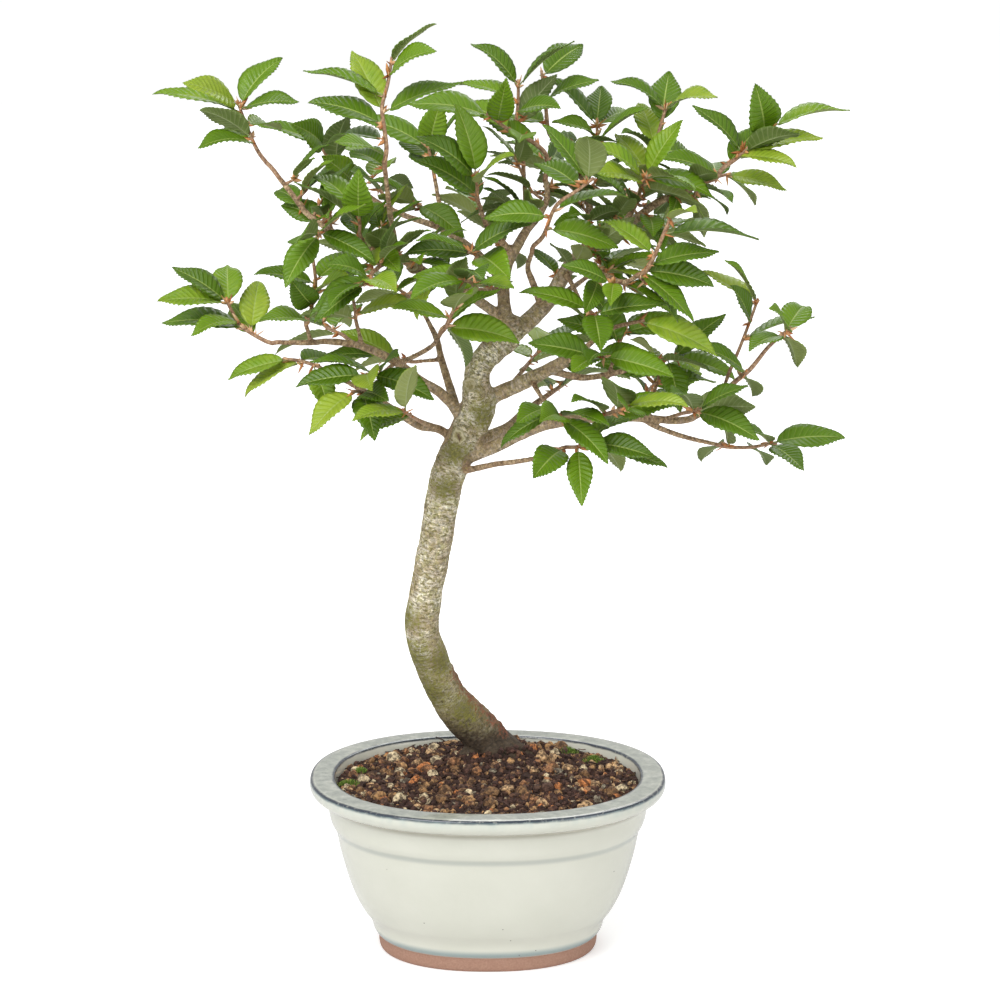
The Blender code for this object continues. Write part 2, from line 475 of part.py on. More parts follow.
def make_screens(group, material):
    """Thin mesh squares that lie over the drain holes."""
    height = FLOOR_HEIGHT + GAP + SCREEN_THICKNESS / 2.0
    for name, side in (("drain_screen_left", -1), ("drain_screen_right", 1)):
        block(name, (side * DRAIN_X, 0.0, height),
              (SCREEN_SIZE, SCREEN_SIZE, SCREEN_THICKNESS), group, material)


def smooth_line(points, spacing):
    """Points about one spacing apart on a smooth curve through the given points.

    Each point is a position followed by any further values, such as a radius.
    """
    count = len(points[0])
    rows = [tuple(float(v) for v in p) for p in points]
    before = tuple(2 * a - b for a, b in zip(rows[0], rows[1]))
    after = tuple(2 * a - b for a, b in zip(rows[-1], rows[-2]))
    padded = [before] + rows + [after]
    fine = []
    for k in range(1, len(padded) - 2):
        p0, p1, p2, p3 = padded[k - 1:k + 3]
        for step in range(CURVE_STEPS):
            t = step / CURVE_STEPS
            row = []
            for a, b, c, d in zip(p0, p1, p2, p3):
                row.append(0.5 * (2 * b + (c - a) * t + (2 * a - 5 * b + 4 * c - d) * t * t
                                  + (3 * b - a - 3 * c + d) * t ** 3))
            fine.append(tuple(row))
    fine.append(rows[-1])
    reach = [0.0]
    for a, b in zip(fine, fine[1:]):
        reach.append(reach[-1] + math.dist(a[:3], b[:3]))
    steps = max(2, round(reach[-1] / spacing))
    line = []
    k = 0
    for step in range(steps + 1):
        goal = reach[-1] * step / steps
        while k < len(reach) - 2 and reach[k + 1] < goal:
            k += 1
        share = (goal - reach[k]) / max(1e-9, reach[k + 1] - reach[k])
        line.append(tuple(fine[k][i] + share * (fine[k + 1][i] - fine[k][i])
                          for i in range(count)))
    return line


def tapered(points, start, end, spacing):
    """A smooth line whose fourth value is a radius that falls evenly."""
    line = smooth_line(points, spacing)
    last = len(line) - 1
    return [row[:3] + (start + (end - start) * i / last,) for i, row in enumerate(line)]


def tube(name, line, sides, group, material):
    """A round rod along a line of positions and radii, as a closed mesh."""
    curve = bpy.data.curves.new(name, "CURVE")
    curve.dimensions = "3D"
    curve.bevel_depth = MM
    curve.bevel_resolution = (sides - 4) // 2
    curve.use_fill_caps = True
    spline = curve.splines.new("POLY")
    spline.points.add(len(line) - 1)
    for point, (x, y, z, radius) in zip(spline.points, line):
        point.co = (x * MM, y * MM, z * MM, 1.0)
        point.radius = radius
    rod = bpy.data.objects.new(name + "_curve", curve)
    group.objects.link(rod)
    depsgraph = bpy.context.evaluated_depsgraph_get()
    mesh = bpy.data.meshes.new_from_object(rod.evaluated_get(depsgraph))
    bm = bmesh.new()
    bm.from_mesh(mesh)
    bmesh.ops.remove_doubles(bm, verts=bm.verts, dist=1e-6)
    bmesh.ops.recalc_face_normals(bm, faces=bm.faces)
    bm.to_mesh(mesh)
    bm.free()
    mesh.materials.clear()
    mesh.materials.append(material)
    obj = bpy.data.objects.new(name, mesh)
    obj.matrix_world = rod.matrix_world.copy()
    group.objects.link(obj)
    bpy.data.objects.remove(rod, do_unlink=True)
    return obj


def rod_shell(line, margin, sides=8):
    """Points and faces of an eight-sided shell that holds a rod and a margin."""
    points = []
    faces = []
    side_dir = None
    for i, row in enumerate(line):
        here = Vector(row[:3])
        ahead = Vector(line[min(i + 1, len(line) - 1)][:3])
        behind = Vector(line[max(i - 1, 0)][:3])
        along = (ahead - behind).normalized()
        if side_dir is None:
            side_dir = along.orthogonal().normalized()
        side_dir = (side_dir - along * side_dir.dot(along)).normalized()
        other = along.cross(side_dir)
        radius = (row[3] + margin) / math.cos(math.pi / sides)
        for k in range(sides):
            angle = 2.0 * math.pi * k / sides
            points.append(here + side_dir * (radius * math.cos(angle))
                          + other * (radius * math.sin(angle)))
    for i in range(len(line) - 1):
        for k in range(sides):
            a = i * sides + k
            b = i * sides + (k + 1) % sides
            faces.append((a, b, b + sides, a + sides))
    faces.append(tuple(range(sides)))
    faces.append(tuple(range(len(points) - sides, len(points))))
    return points, faces


class Obstacle:
    """A shape that leaves keep clear of, with its box for a quick test."""

    def __init__(self, points, faces):
        self.tree = BVHTree.FromPolygons(points, faces)
        self.low = [min(p[i] for p in points) for i in range(3)]
        self.high = [max(p[i] for p in points) for i in range(3)]

    def meets(self, other):
        """Whether the two surfaces cross."""
        for i in range(3):
            if self.low[i] > other.high[i] or self.high[i] < other.low[i]:
                return False
        return bool(self.tree.overlap(other.tree))


class Leaf:
    """One leaf: where it starts, where it points, its size and its bend."""

    def __init__(self, base, along, face, length, width, arch, fold):
        self.base = base
        self.along = along.normalized()
        self.face = (face - self.along * face.dot(self.along)).normalized()
        self.side = self.along.cross(self.face)
        self.length = length
        self.width = width
        self.arch = arch
        self.fold = fold

    def rib(self, t):
        """Point on the rib, and the blade's face direction there."""
        half = self.arch / 2.0
        turn = half - self.arch * t
        ahead = (math.sin(half) - math.sin(turn)) / self.arch
        lift = (math.cos(turn) - math.cos(half)) / self.arch
        point = self.base + (self.along * ahead + self.face * lift) * self.length
        return point, self.face * math.cos(turn) - self.along * math.sin(turn)

    def edge(self, t, half_width, side):
        """Point at one side of the rib, on the blade folded up along it."""
        point, face = self.rib(t)
        point = point + self.side * (side * half_width * math.cos(self.fold))
        return point + face * (half_width * math.sin(self.fold))

    def shell(self, extra=0.0, blade_only=False):
        """Points and triangles of the whole leaf, or of its blade alone."""
        rows = [STALK_SHARE + (1.0 - STALK_SHARE) * u for u, wave in EDGE_STATIONS]
        widths = [self.width / 2.0 * blade_outline(u) * wave + extra
                  for u, wave in EDGE_STATIONS]
        ribs = [STALK_SHARE + (1.0 - STALK_SHARE) * u for u in RIB_STATIONS]
        start = STALK_SHARE + 0.05 if blade_only else STALK_SHARE
        tip = self.rib(1.0 + extra / self.length)[0]
        root = self.rib(start - 0.01)[0] if blade_only else self.base - self.along * STALK_SINK
        points = [root, tip]
        for side in (-1, 1):
            points.append(self.edge(start, STALK_RADIUS + extra, side))
            for t, width in zip(rows, widths):
                points.append(self.edge(t, width, side))
        for side in (-1, 1):
            for t in [start] + ribs:
                point, face = self.rib(t)
                points.append(point + face * (side * (RIB_THICKNESS / 2.0 + extra)))
        left = list(range(2, 7))
        right = list(range(7, 12))
        under = list(range(12, 15))
        over = list(range(15, 18))
        faces = []
        for ribs_used, flip in ((over, False), (under, True)):
            for edges, turn in ((left, False), (right, True)):
                for tri in half_blade(edges, ribs_used):
                    faces.append(tuple(reversed(tri)) if flip != turn else tri)
        return points, faces


def half_blade(edges, ribs):
    """Triangles between the rib and one edge, from the root 0 to the tip 1."""
    e0, e1, e2, e3, e4 = edges
    r0, r1, r2 = ribs
    return [(0, e0, r0), (r0, e0, e1), (r0, e1, r1), (r1, e1, e2), (r1, e2, r2),
            (r2, e2, e3), (r2, e3, e4), (r2, e4, 1)]


def blade_outline(u):
    """Half-width of an ovate, long-pointed blade, as a share of its greatest."""
    swell = math.sin(math.pi * u ** 0.78)
    return 1.02 * max(0.0, swell) ** 0.85 * (1.0 - 0.28 * u ** 3)


def placed_leaf(line, spec, rng):
    """A leaf that is placed one by one: its heading is as seen from the front."""
    share, heading, length, lean, face = spec
    heading = math.radians(heading + rng.uniform(-4, 4))
    lean = math.radians(lean + rng.uniform(-6, 6))
    face = math.radians(face + rng.uniform(-8, 8))
    along = Vector((math.cos(heading) * math.cos(lean), -math.sin(lean),
                    math.sin(heading) * math.cos(lean)))
    base = point_at(line, share)[0]
    return turned_leaf(base, along, Vector((0, -1, 0)), face, length, rng)


def grown_leaf(line, share, hand, rng):
    """A leaf by the shoot's own rule: to alternate sides, closer to the tip."""
    base, shoot = point_at(line, share)
    outward = Vector((base.x, base.y, 0.0))
    outward = outward.normalized() if outward.length > 1.0 else Vector((0, -1, 0))
    upright = Vector((0, 0, 1)) + outward * rng.uniform(0.0, 0.6)
    across = shoot.cross(upright).normalized()
    spread = math.radians(62 - 38 * share + rng.uniform(-12, 12))
    lift = Vector((0, 0, 1)) * rng.uniform(-0.35, 0.25)
    along = shoot * math.cos(spread) + across * (hand * math.sin(spread)) + lift
    face = math.radians(rng.uniform(0, 50))
    return turned_leaf(base, along.normalized(), outward, face, rng.uniform(*LEAF_LENGTHS), rng)


def turned_leaf(base, along, outward, face, length, rng):
    """Face a leaf between the sky and outward, and draw its bend and width."""
    sky = Vector((0, 0, 1)) - along * along.z
    sky = sky.normalized() if sky.length > 0.15 else outward
    facing = outward - along * outward.dot(along)
    facing = facing.normalized() if facing.length > 0.15 else sky
    top = sky * math.cos(face) + facing * math.sin(face)
    width = length * LEAF_SLENDERNESS * rng.uniform(0.92, 1.1)
    arch = rng.uniform(*LEAF_ARCHES)
    fold = math.radians(rng.uniform(*LEAF_FOLDS))
    return Leaf(base, along, top, length, width, arch, fold)


def point_at(line, share):
    """Position and direction at a share of a line's length, sunk in at its end."""
    place = min(max(share, 0.0) * (len(line) - 1), len(line) - 1 - ROOT_SINK)
    k = min(int(place), len(line) - 2)
    a = Vector(line[k][:3])
    b = Vector(line[k + 1][:3])
    return a.lerp(b, place - k), (b - a).normalized()


def trunk_line():
    """The trunk's axis and radius, with its upright foot down in the soil."""
    foot = TRUNK_FOOT + (TRUNK_FOOT_BOTTOM + GAP, TRUNK[0][3])
    return [foot] + smooth_line(TRUNK, TRUNK_SPACING)


def branch_lines():
    """The axis and radius of each branch."""
    lines = {}
    for name, sides, start, end, points in BRANCHES:
        lines[name] = tapered(points, start, end, BRANCH_SPACING)
    return lines


def shoot_line(branch, points):
    """The axis of a shoot, from just past the flat end of its branch."""
    end = Vector(branch[-1][:3])
    ahead = (end - Vector(branch[-2][:3])).normalized()
    start = [tuple(end + ahead * SHOOT_GAP), tuple(end + ahead * STRAIGHT_START)]
    return tapered(start + points, branch[-1][3], TWIG_END_RADIUS, SHOOT_SPACING)


def leaf_plan(index, count, fixed):
    """The leaves to place on a shoot: the fixed ones, then those by the rule."""
    plan = [("placed", spec) for spec in fixed]
    taken = [spec[0] for spec in fixed]
    if not taken or max(taken) < 0.97:
        plan.append(("grown", (1.0, 1)))
    free = max(0, count - len(plan))
    for k in range(free):
        share = FIRST_LEAF_SHARE + (LAST_LEAF_SHARE - FIRST_LEAF_SHARE) * (k + 0.5) / free
        plan.append(("grown", (share, 1 if (k + index) % 2 else -1)))
    return plan


def is_clear(leaf, name, others):
    """Whether a leaf keeps clear: whole of other pieces, its blade of its own shoot."""
    wide = Obstacle(*leaf.shell(CLEARANCE))
    blade = Obstacle(*leaf.shell(OWN_CLEARANCE, True))
    return not any((blade if owner == name else wide).meets(other) for owner, other in others)


def grow_leaves(branches, shoots):
    """Place every leaf of every shoot, each clear of all that stands before it."""
    rods = [(None, Obstacle(*rod_shell(trunk_line(), WOOD_CLEARANCE)))]
    for line in branches.values():
        rods.append((None, Obstacle(*rod_shell(line, WOOD_CLEARANCE))))
    for name, line in shoots.items():
        rods.append((name, Obstacle(*rod_shell(line, WOOD_CLEARANCE))))
    placed = []
    leaves = {}
    for index, (name, branch, count, points, fixed) in enumerate(SHOOTS):
        line = shoots[name]
        own = []
        for number, (kind, spec) in enumerate(leaf_plan(index, count, fixed)):
            for attempt in range(TRIES):
                rng = random.Random(100000 * index + 1000 * number + attempt)
                if kind == "placed":
                    leaf = placed_leaf(line, spec, rng)
                else:
                    leaf = grown_leaf(line, spec[0], spec[1], rng)
                if is_clear(leaf, name, rods + placed):
                    own.append(leaf)
                    placed.append((name, Obstacle(*leaf.shell())))
                    break
        leaves[name] = own
    return leaves


def make_wood(branches, group, material):
    """Trunk, limbs and branches, joined into one piece of wood."""
    wood = tube("trunk", trunk_line(), TRUNK_SIDES, group, material)
    parts = new_collection("wood_parts")
    for name, sides, start, end, points in BRANCHES:
        tube(name, branches[name], sides, parts, material)
    for centre, radii in KNOTS:
        bm = bmesh.new()
        bmesh.ops.create_icosphere(bm, subdivisions=1, radius=1.0)
        bmesh.ops.scale(bm, vec=radii, verts=bm.verts)
        bmesh.ops.translate(bm, vec=centre, verts=bm.verts)
        object_from_bmesh("knot", bm, parts, material)
    join_all(wood, parts)
    wood.data.shade_smooth()
    wood.data.set_sharp_from_angle(angle=math.radians(50.0))
    return wood


def make_shoot(name, line, leaves, group, material):
    """A leafy shoot: its twig, with the leaves joined to it."""
    twig = tube("shoot_" + name, line, SHOOT_SIDES, group, material)
    parts = new_collection("leaves_" + name)
    for leaf in leaves:
        bm = bmesh.new()
        points, faces = leaf.shell()
        verts = [bm.verts.new(point) for point in points]
        for face in faces:
            bm.faces.new([verts[i] for i in face])
        object_from_bmesh("leaf", bm, parts, material)
    join_all(twig, parts)
    return twig


def main():
    clear_scene()
    group = new_collection("hornbeam_bonsai")
    glaze = new_material("celadon glaze", PALE_GLAZE, 0.25)
    earth = new_material("akadama soil", DARK_SOIL, 0.95)
    plastic = new_material("black plastic mesh", SCREEN_BLACK, 0.6)
    bark = new_material("hornbeam bark", GREY_BARK, 0.85)
    green = new_material("hornbeam leaf", LEAF_GREEN, 0.45)
    make_pot(group, glaze)
    make_soil(group, earth)
    make_screens(group, plastic)
    branches = branch_lines()
    shoots = {}
    for name, branch, count, points, fixed in SHOOTS:
        shoots[name] = shoot_line(branches[branch], points)
    leaves = grow_leaves(branches, shoots)
    make_wood(branches, group, bark)
    for name, branch, count, points, fixed in SHOOTS:
        make_shoot(name, shoots[name], leaves[name], group, green)
    print("leaves placed:", sum(len(own) for own in leaves.values()))


main()
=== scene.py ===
# %% [markdown]
# # A hornbeam bonsai in a glazed oval pot
# A small hornbeam leans out of an oval stoneware pot. Its solids already exist as a
# plain model: this script keeps their places and sizes, and gives each one its real
# surface. The pot gets its glaze, the soil its grains, the wood its bark, and every
# leaf its veins and teeth. Sizes in the lists are millimetres, as a potter or a
# gardener would measure them, and meshes are made metres at the very end.

import math
import random

import bmesh
import bpy
import numpy as np
from mathutils import Matrix, Vector, noise
from mathutils.bvhtree import BVHTree
from mathutils.kdtree import KDTree


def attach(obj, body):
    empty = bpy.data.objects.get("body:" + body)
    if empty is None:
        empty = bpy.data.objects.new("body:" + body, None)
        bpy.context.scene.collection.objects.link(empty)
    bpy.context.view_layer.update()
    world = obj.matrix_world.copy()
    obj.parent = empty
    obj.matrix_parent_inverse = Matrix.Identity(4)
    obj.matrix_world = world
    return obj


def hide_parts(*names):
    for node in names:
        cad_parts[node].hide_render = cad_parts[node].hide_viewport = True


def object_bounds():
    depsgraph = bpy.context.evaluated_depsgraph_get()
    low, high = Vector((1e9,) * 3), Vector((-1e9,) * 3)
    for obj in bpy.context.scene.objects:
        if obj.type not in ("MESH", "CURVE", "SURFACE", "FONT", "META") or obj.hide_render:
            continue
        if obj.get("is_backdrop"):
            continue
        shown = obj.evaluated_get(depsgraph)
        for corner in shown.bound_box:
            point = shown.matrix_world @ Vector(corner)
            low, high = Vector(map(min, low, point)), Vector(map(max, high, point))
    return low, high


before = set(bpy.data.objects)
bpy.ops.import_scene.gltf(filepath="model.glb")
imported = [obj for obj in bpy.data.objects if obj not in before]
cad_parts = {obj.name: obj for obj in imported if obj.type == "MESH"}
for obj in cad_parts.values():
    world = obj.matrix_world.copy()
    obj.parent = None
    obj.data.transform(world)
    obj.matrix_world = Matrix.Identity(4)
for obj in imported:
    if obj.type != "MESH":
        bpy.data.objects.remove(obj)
cad_low, cad_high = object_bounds()
print("solids:", len(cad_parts), "box:", [round(v, 3) for v in cad_high - cad_low])

# %% [markdown]
# ## Helpers
# A colour is given as an sRGB hex code, but a shader adds and multiplies light,
# so one function turns each code to linear values. Another adds a shader node: its
# settings are keywords, its inputs are values or links, and a ramp's stops are a
# list. Three short ones stand for the steps that come again and again: arithmetic, a
# mix of two colours, and a value moved to another range. With these, a material
# reads as a short recipe.

# %% Colours, nodes and materials
MM = 0.001


def linear(code):
    """Linear red, green, blue and alpha of an sRGB hex colour."""
    shares = [int(code[i:i + 2], 16) / 255.0 for i in (1, 3, 5)]
    return tuple(s / 12.92 if s <= 0.04045 else ((s + 0.055) / 1.055) ** 2.4 for s in shares) + (1.0,)


def add(tree, kind, inputs=(), stops=(), **settings):
    """Add a node with its settings, its ramp's stops, and its values and links."""
    node = tree.nodes.new(kind)
    for name, value in settings.items():
        setattr(node, name, value)
    for number, (place, colour) in enumerate(stops):
        elements = node.color_ramp.elements
        stop = elements[number] if number < 2 else elements.new(place)
        stop.position = place
        stop.color = linear(colour) if isinstance(colour, str) else (colour, colour, colour, 1.0)
    for name, value in dict(inputs).items():
        if isinstance(value, bpy.types.NodeSocket):
            tree.links.new(value, node.inputs[name])
        else:
            node.inputs[name].default_value = value
    return node


def maths(tree, operation, *values):
    """The result of a sum, a product or another step on values or links."""
    return add(tree, "ShaderNodeMath", dict(enumerate(values)), operation=operation).outputs[0]


def mix(tree, share, first, second):
    """A mix of two colours, where the share is how much of the second shows."""
    return add(tree, "ShaderNodeMix", {0: share, 6: first, 7: second}, data_type="RGBA").outputs[2]


def remap(tree, value, given, wanted, smooth=False):
    """A value moved from one range to another, and held at its ends."""
    node = add(tree, "ShaderNodeMapRange", {"Value": value, "From Min": given[0], "From Max": given[1],
                                            "To Min": wanted[0], "To Max": wanted[1]})
    node.interpolation_type = "SMOOTHSTEP" if smooth else "LINEAR"
    return node.outputs[0]


def millimetre_place(tree):
    """Each point's own place in millimetres, so that a pattern's scale reads as a real size."""
    place = add(tree, "ShaderNodeTexCoord").outputs["Object"]
    return add(tree, "ShaderNodeVectorMath", {0: place, 1: (1000.0, 1000.0, 1000.0)},
               operation="MULTIPLY").outputs["Vector"]


def start_material(name, **values):
    """A new material with its tree and its shader, whose plain values are set."""
    material = bpy.data.materials.new(name)
    material.use_nodes = True
    tree = material.node_tree
    shader = tree.nodes["Principled BSDF"]
    for socket, value in values.items():
        shader.inputs[socket.replace("_", " ")].default_value = value
    return material, tree, shader


print("white in linear light:", linear("#ffffff")[:3], "mid grey:", round(linear("#808080")[0], 3))

# %% [markdown]
# ## From a mesh in millimetres to a finished piece
# Every piece ends in the same way: its mesh is scaled to metres, it gets its
# materials, it rides on the model's one body, and the plain solids that it stands
# for are hidden.

# %% Finish a piece
def finish_piece(name, mesh, materials, nodes=(), smooth=True):
    """Make an object of a mesh in millimetres, and tie it to the model."""
    mesh.transform(Matrix.Scale(MM, 4))
    for material in materials:
        mesh.materials.append(material)
    mesh.shade_smooth() if smooth else mesh.shade_flat()
    piece = bpy.data.objects.new(name, mesh)
    bpy.context.scene.collection.objects.link(piece)
    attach(piece, "root")
    if nodes:
        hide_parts(*nodes)
    return piece


def mesh_from(bm, name):
    """Turn a bmesh's faces outward and make a mesh of it."""
    bmesh.ops.recalc_face_normals(bm, faces=bm.faces)
    mesh = bpy.data.meshes.new(name)
    bm.to_mesh(mesh)
    bm.free()
    return mesh


def triangles(mesh):
    """How many triangles a mesh has."""
    return sum(len(face.vertices) - 2 for face in mesh.polygons)


print("scale from millimetres to metres:", MM)

# %% [markdown]
# ## Camera, light and floor
# The tree is seen from the front and a little above, from 1.2 m away, with a lens
# long enough to keep the pot's oval calm. It stands on a lit white table in a white
# room. The room looks pure white, but sheds less light than it shows, or it would
# wash the colours out. One large soft lamp from the upper left gives the leaves
# their gloss and the trunk its round shape, and weaker ones open the shaded sides.

# %% Camera
CAMERA_PLACE = (0.007, -1.2, 0.487)
CAMERA_TILT = 10.7
CAMERA_LENS = 78.7

camera = bpy.data.objects.new("camera", bpy.data.cameras.new("camera"))
bpy.context.scene.collection.objects.link(camera)
camera.location = CAMERA_PLACE
camera.rotation_euler = (math.radians(90.0 - CAMERA_TILT), 0.0, 0.0)
camera.data.lens = CAMERA_LENS
camera.data.sensor_width = 36.0
bpy.context.scene.camera = camera
bpy.context.scene.view_settings.view_transform = "Standard"
print("camera at", CAMERA_PLACE, "tilted down", CAMERA_TILT, "degrees")

# %% Light
ROOM_SEEN = 1.02
ROOM_LIGHT = 0.55

world = bpy.data.worlds.new("white room")
world.use_nodes = True
tree = world.node_tree
seen = add(tree, "ShaderNodeLightPath").outputs["Is Camera Ray"]
strength = remap(tree, seen, (0.0, 1.0), (ROOM_LIGHT, ROOM_SEEN))
tree.nodes["Background"].inputs["Color"].default_value = linear("#ffffff")
tree.links.new(strength, tree.nodes["Background"].inputs["Strength"])
bpy.context.scene.world = world

LAMPS = [
    ("key", (-0.75, -1.3, 1.45), 1.1, 25.0),
    ("fill", (1.1, -1.0, 0.6), 0.8, 4.0),
    ("back", (0.3, 1.2, 1.4), 0.9, 8.0),
]
TREE_MIDDLE = Vector((0.0, 0.0, 0.28))
for name, place, size, watts in LAMPS:
    lamp = bpy.data.lights.new(name, "AREA")
    lamp.size = size
    lamp.energy = watts
    holder = bpy.data.objects.new(name, lamp)
    holder.location = place
    holder.rotation_euler = (TREE_MIDDLE - Vector(place)).to_track_quat("-Z", "Y").to_euler()
    bpy.context.scene.collection.objects.link(holder)
print("lamps:", [row[0] for row in LAMPS])

# %% Floor
paper, tree, shader = start_material("white acrylic table, lit from below", Roughness=0.9)
place = add(tree, "ShaderNodeTexCoord").outputs["Object"]
away = add(tree, "ShaderNodeVectorMath", {0: place}, operation="LENGTH").outputs["Value"]
glow = remap(tree, away, (0.1, 0.9), (0.38, 0.9), smooth=True)
seen = add(tree, "ShaderNodeLightPath").outputs["Is Camera Ray"]
glow = maths(tree, "MULTIPLY", glow, seen)
tree.links.new(glow, shader.inputs["Emission Strength"])
shader.inputs["Base Color"].default_value = linear("#f0f0f0")
shader.inputs["Emission Color"].default_value = linear("#ffffff")
bm = bmesh.new()
bmesh.ops.create_grid(bm, x_segments=1, y_segments=1, size=60.0)
floor = bpy.data.objects.new("floor", mesh_from(bm, "floor"))
floor.data.materials.append(paper)
bpy.context.scene.collection.objects.link(floor)
floor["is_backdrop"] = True
print("floor:", [round(v, 1) for v in floor.dimensions])

# %% [markdown]
# ## The oval pot
# A mould-pressed stoneware pot: a foot of bare clay, a body that swells to a soft
# ridge, and a rolled lip with a flat top. Its section is a list of stations, each an
# offset inward from the lip's outer line and a height. Corner cutting rounds the
# section as pressed clay and melting glaze would be, while its two ends stay put. The
# neck and the ridge lie some millimetres higher than on the plain model, because
# that is where the real pot has them.

# %% The pot's section
POT_HALF_LENGTH = 101.5
POT_HALF_DEPTH = 86.0
POT_HEIGHT = 102.0
POT_ROUNDNESS = 2.2
RIM_WIDTH = 14.5
FLOOR_HEIGHT = 12.0
FOOT_HEIGHT = 8.8
FOOT_RECESS = [(52.0, 2.4), (44.0, 2.2), (42.6, 0.0)]
POT_OUTSIDE = [
    (38.6, 0.0), (38.4, 8.6), (37.0, 9.6), (35.2, 12.6), (34.4, 16.4), (32.6, 20.0),
    (28.6, 25.4), (22.8, 37.6), (16.8, 59.5), (15.4, 68.0), (14.4, 72.4), (11.8, 76.4),
    (10.6, 82.0), (10.0, 88.4), (6.8, 91.6), (2.2, 93.6), (0.0, 96.6), (0.1, 100.7),
    (1.3, POT_HEIGHT),
]
POT_INSIDE = [
    (RIM_WIDTH - 1.2, POT_HEIGHT), (RIM_WIDTH, POT_HEIGHT - 1.2), (17.0, 84.0), (24.0, 58.0),
    (43.0, FLOOR_HEIGHT),
]


def rounded(section, rounds=3):
    """Cut the corners of a section, again and again, with its ends kept."""
    for turn in range(rounds):
        cut = [section[0]]
        for (a, b), (c, d) in zip(section, section[1:]):
            cut += [(0.75 * a + 0.25 * c, 0.75 * b + 0.25 * d),
                    (0.25 * a + 0.75 * c, 0.25 * b + 0.75 * d)]
        section = cut + [section[-1]]
    return section


pot_section = rounded(FOOT_RECESS + POT_OUTSIDE + POT_INSIDE)
print("stations in the pot's section:", len(pot_section))

# %% [markdown]
# The plan of the pot is a superellipse: a little squarer than an ellipse. One ring of
# points knows its turn round the pot, and each extrusion of the ring keeps it, so
# every new ring falls into place by its turn, its offset and its height. Each point
# also keeps its run, the distance along the section, which the glaze uses later.

# %% Sweep a section round the oval
OVAL_SIDES = 128


def oval_point(turn, inset, height):
    """A point of the oval plan at a turn from 0 to 1."""
    angle = 2.0 * math.pi * turn
    power = 2.0 / POT_ROUNDNESS
    x = (POT_HALF_LENGTH - inset) * math.copysign(abs(math.cos(angle)) ** power, math.cos(angle))
    y = (POT_HALF_DEPTH - inset) * math.copysign(abs(math.sin(angle)) ** power, math.sin(angle))
    return Vector((x, y, height))


def oval_sweep(section, sides=OVAL_SIDES):
    """Extrude a ring through the stations of a section, and close both ends."""
    bm = bmesh.new()
    turn = bm.verts.layers.float.new("turn")
    run = bm.verts.layers.float.new("run")
    ring = bmesh.ops.create_circle(bm, segments=sides, radius=1.0)["verts"]
    for number, vert in enumerate(ring):
        vert[turn] = number / sides
        vert.co = oval_point(vert[turn], *section[0])
    bmesh.ops.contextual_create(bm, geom=ring)
    edges = [edge for edge in bm.edges]
    for before, after in zip(section, section[1:]):
        new = bmesh.ops.extrude_edge_only(bm, edges=edges)["geom"]
        edges = [item for item in new if isinstance(item, bmesh.types.BMEdge)]
        ring = [item for item in new if isinstance(item, bmesh.types.BMVert)]
        for vert in ring:
            vert.co = oval_point(vert[turn], *after)
            vert[run] += math.dist(before, after)
    bmesh.ops.contextual_create(bm, geom=edges)
    return bm


pot_bm = oval_sweep(pot_section)
print("points in the pot:", len(pot_bm.verts))

# %% [markdown]
# Two holes in the floor let water out. They are bored through the closed shell, as a
# potter cuts them through the leather-hard clay.

# %% Bore the drain holes
DRAIN_X = 32.0
DRAIN_RADIUS = 7.0


def bored(mesh, places, radius, depth):
    """Cut upright round holes through a mesh."""
    bm = bmesh.new()
    for x, y in places:
        bmesh.ops.create_cone(bm, cap_ends=True, segments=40, radius1=radius, radius2=radius,
                              depth=depth, matrix=Matrix.Translation((x, y, 0.0)))
    block = bpy.data.objects.new("block", mesh)
    drill = bpy.data.objects.new("drill", mesh_from(bm, "drill"))
    for item in (block, drill):
        bpy.context.scene.collection.objects.link(item)
    cut = block.modifiers.new("bore", "BOOLEAN")
    cut.operation = "DIFFERENCE"
    cut.object = drill
    graph = bpy.context.evaluated_depsgraph_get()
    result = bpy.data.meshes.new_from_object(block.evaluated_get(graph))
    bpy.data.objects.remove(block)
    bpy.data.objects.remove(drill)
    return result


pot_mesh = bored(mesh_from(pot_bm, "pot"), [(-DRAIN_X, 0.0), (DRAIN_X, 0.0)], DRAIN_RADIUS, 40.0)
print("triangles in the pot:", triangles(pot_mesh))

# %% [markdown]
# The foot was wiped clean of glaze before the firing, so its faces take the bare
# clay. All other faces take the glaze.

# %% Bare foot, glazed body
for face in pot_mesh.polygons:
    low_outside = face.center.z < FOOT_HEIGHT and abs(face.normal.z) < 0.95
    face.material_index = 1 if face.center.z < 3.0 or low_outside else 0
    face.use_smooth = True
print("faces of bare clay:", sum(face.material_index for face in pot_mesh.polygons))

# %% [markdown]
# The glaze is a thick celadon that runs off edges and gathers in hollows. Where it is
# thin, on the lip's two corners, the iron in the clay burns through as a dark line.
# Where it gathers it changes its tone: cooler under the ridge, and bluish above the
# foot. Under the lip the band is warm grey and darker: this is painted shade under the
# rolled lip, over the glaze that gathers there. The rim's top is mottled grey. Tiny
# bubbles that broke left dark pinholes, one to about every 13 mm.

# %% Places along the section where the glaze changes
def run_to(section, goal):
    """The run from a section's start to its point nearest to the goal."""
    runs = [0.0]
    for before, after in zip(section, section[1:]):
        runs.append(runs[-1] + math.dist(before, after))
    return runs[min(range(len(section)), key=lambda i: math.dist(section[i], goal))]


OUTER_LINE = run_to(pot_section, (0.4, 101.4))
INNER_LINE = run_to(pot_section, (RIM_WIDTH - 0.5, 101.5))
# The first band lies under the rolled lip: its warm grey is painted shade there, over pooled glaze.
# The ridge and foot bands are pooled glaze.
GLAZE_POOLS_AND_LIP_SHADE = [run_to(pot_section, place) for place in ((8.0, 91.0), (13.8, 73.4), (36.4, 10.4))]
POOL_AND_LIP_SHADE_LOOKS = [(4.4, 0.85, "#a39e8d"), (3.2, 0.5, "#a3aba6"), (4.6, 0.85, "#8fa5a8")]
print("outer line at", round(OUTER_LINE, 1), "mm along the section")

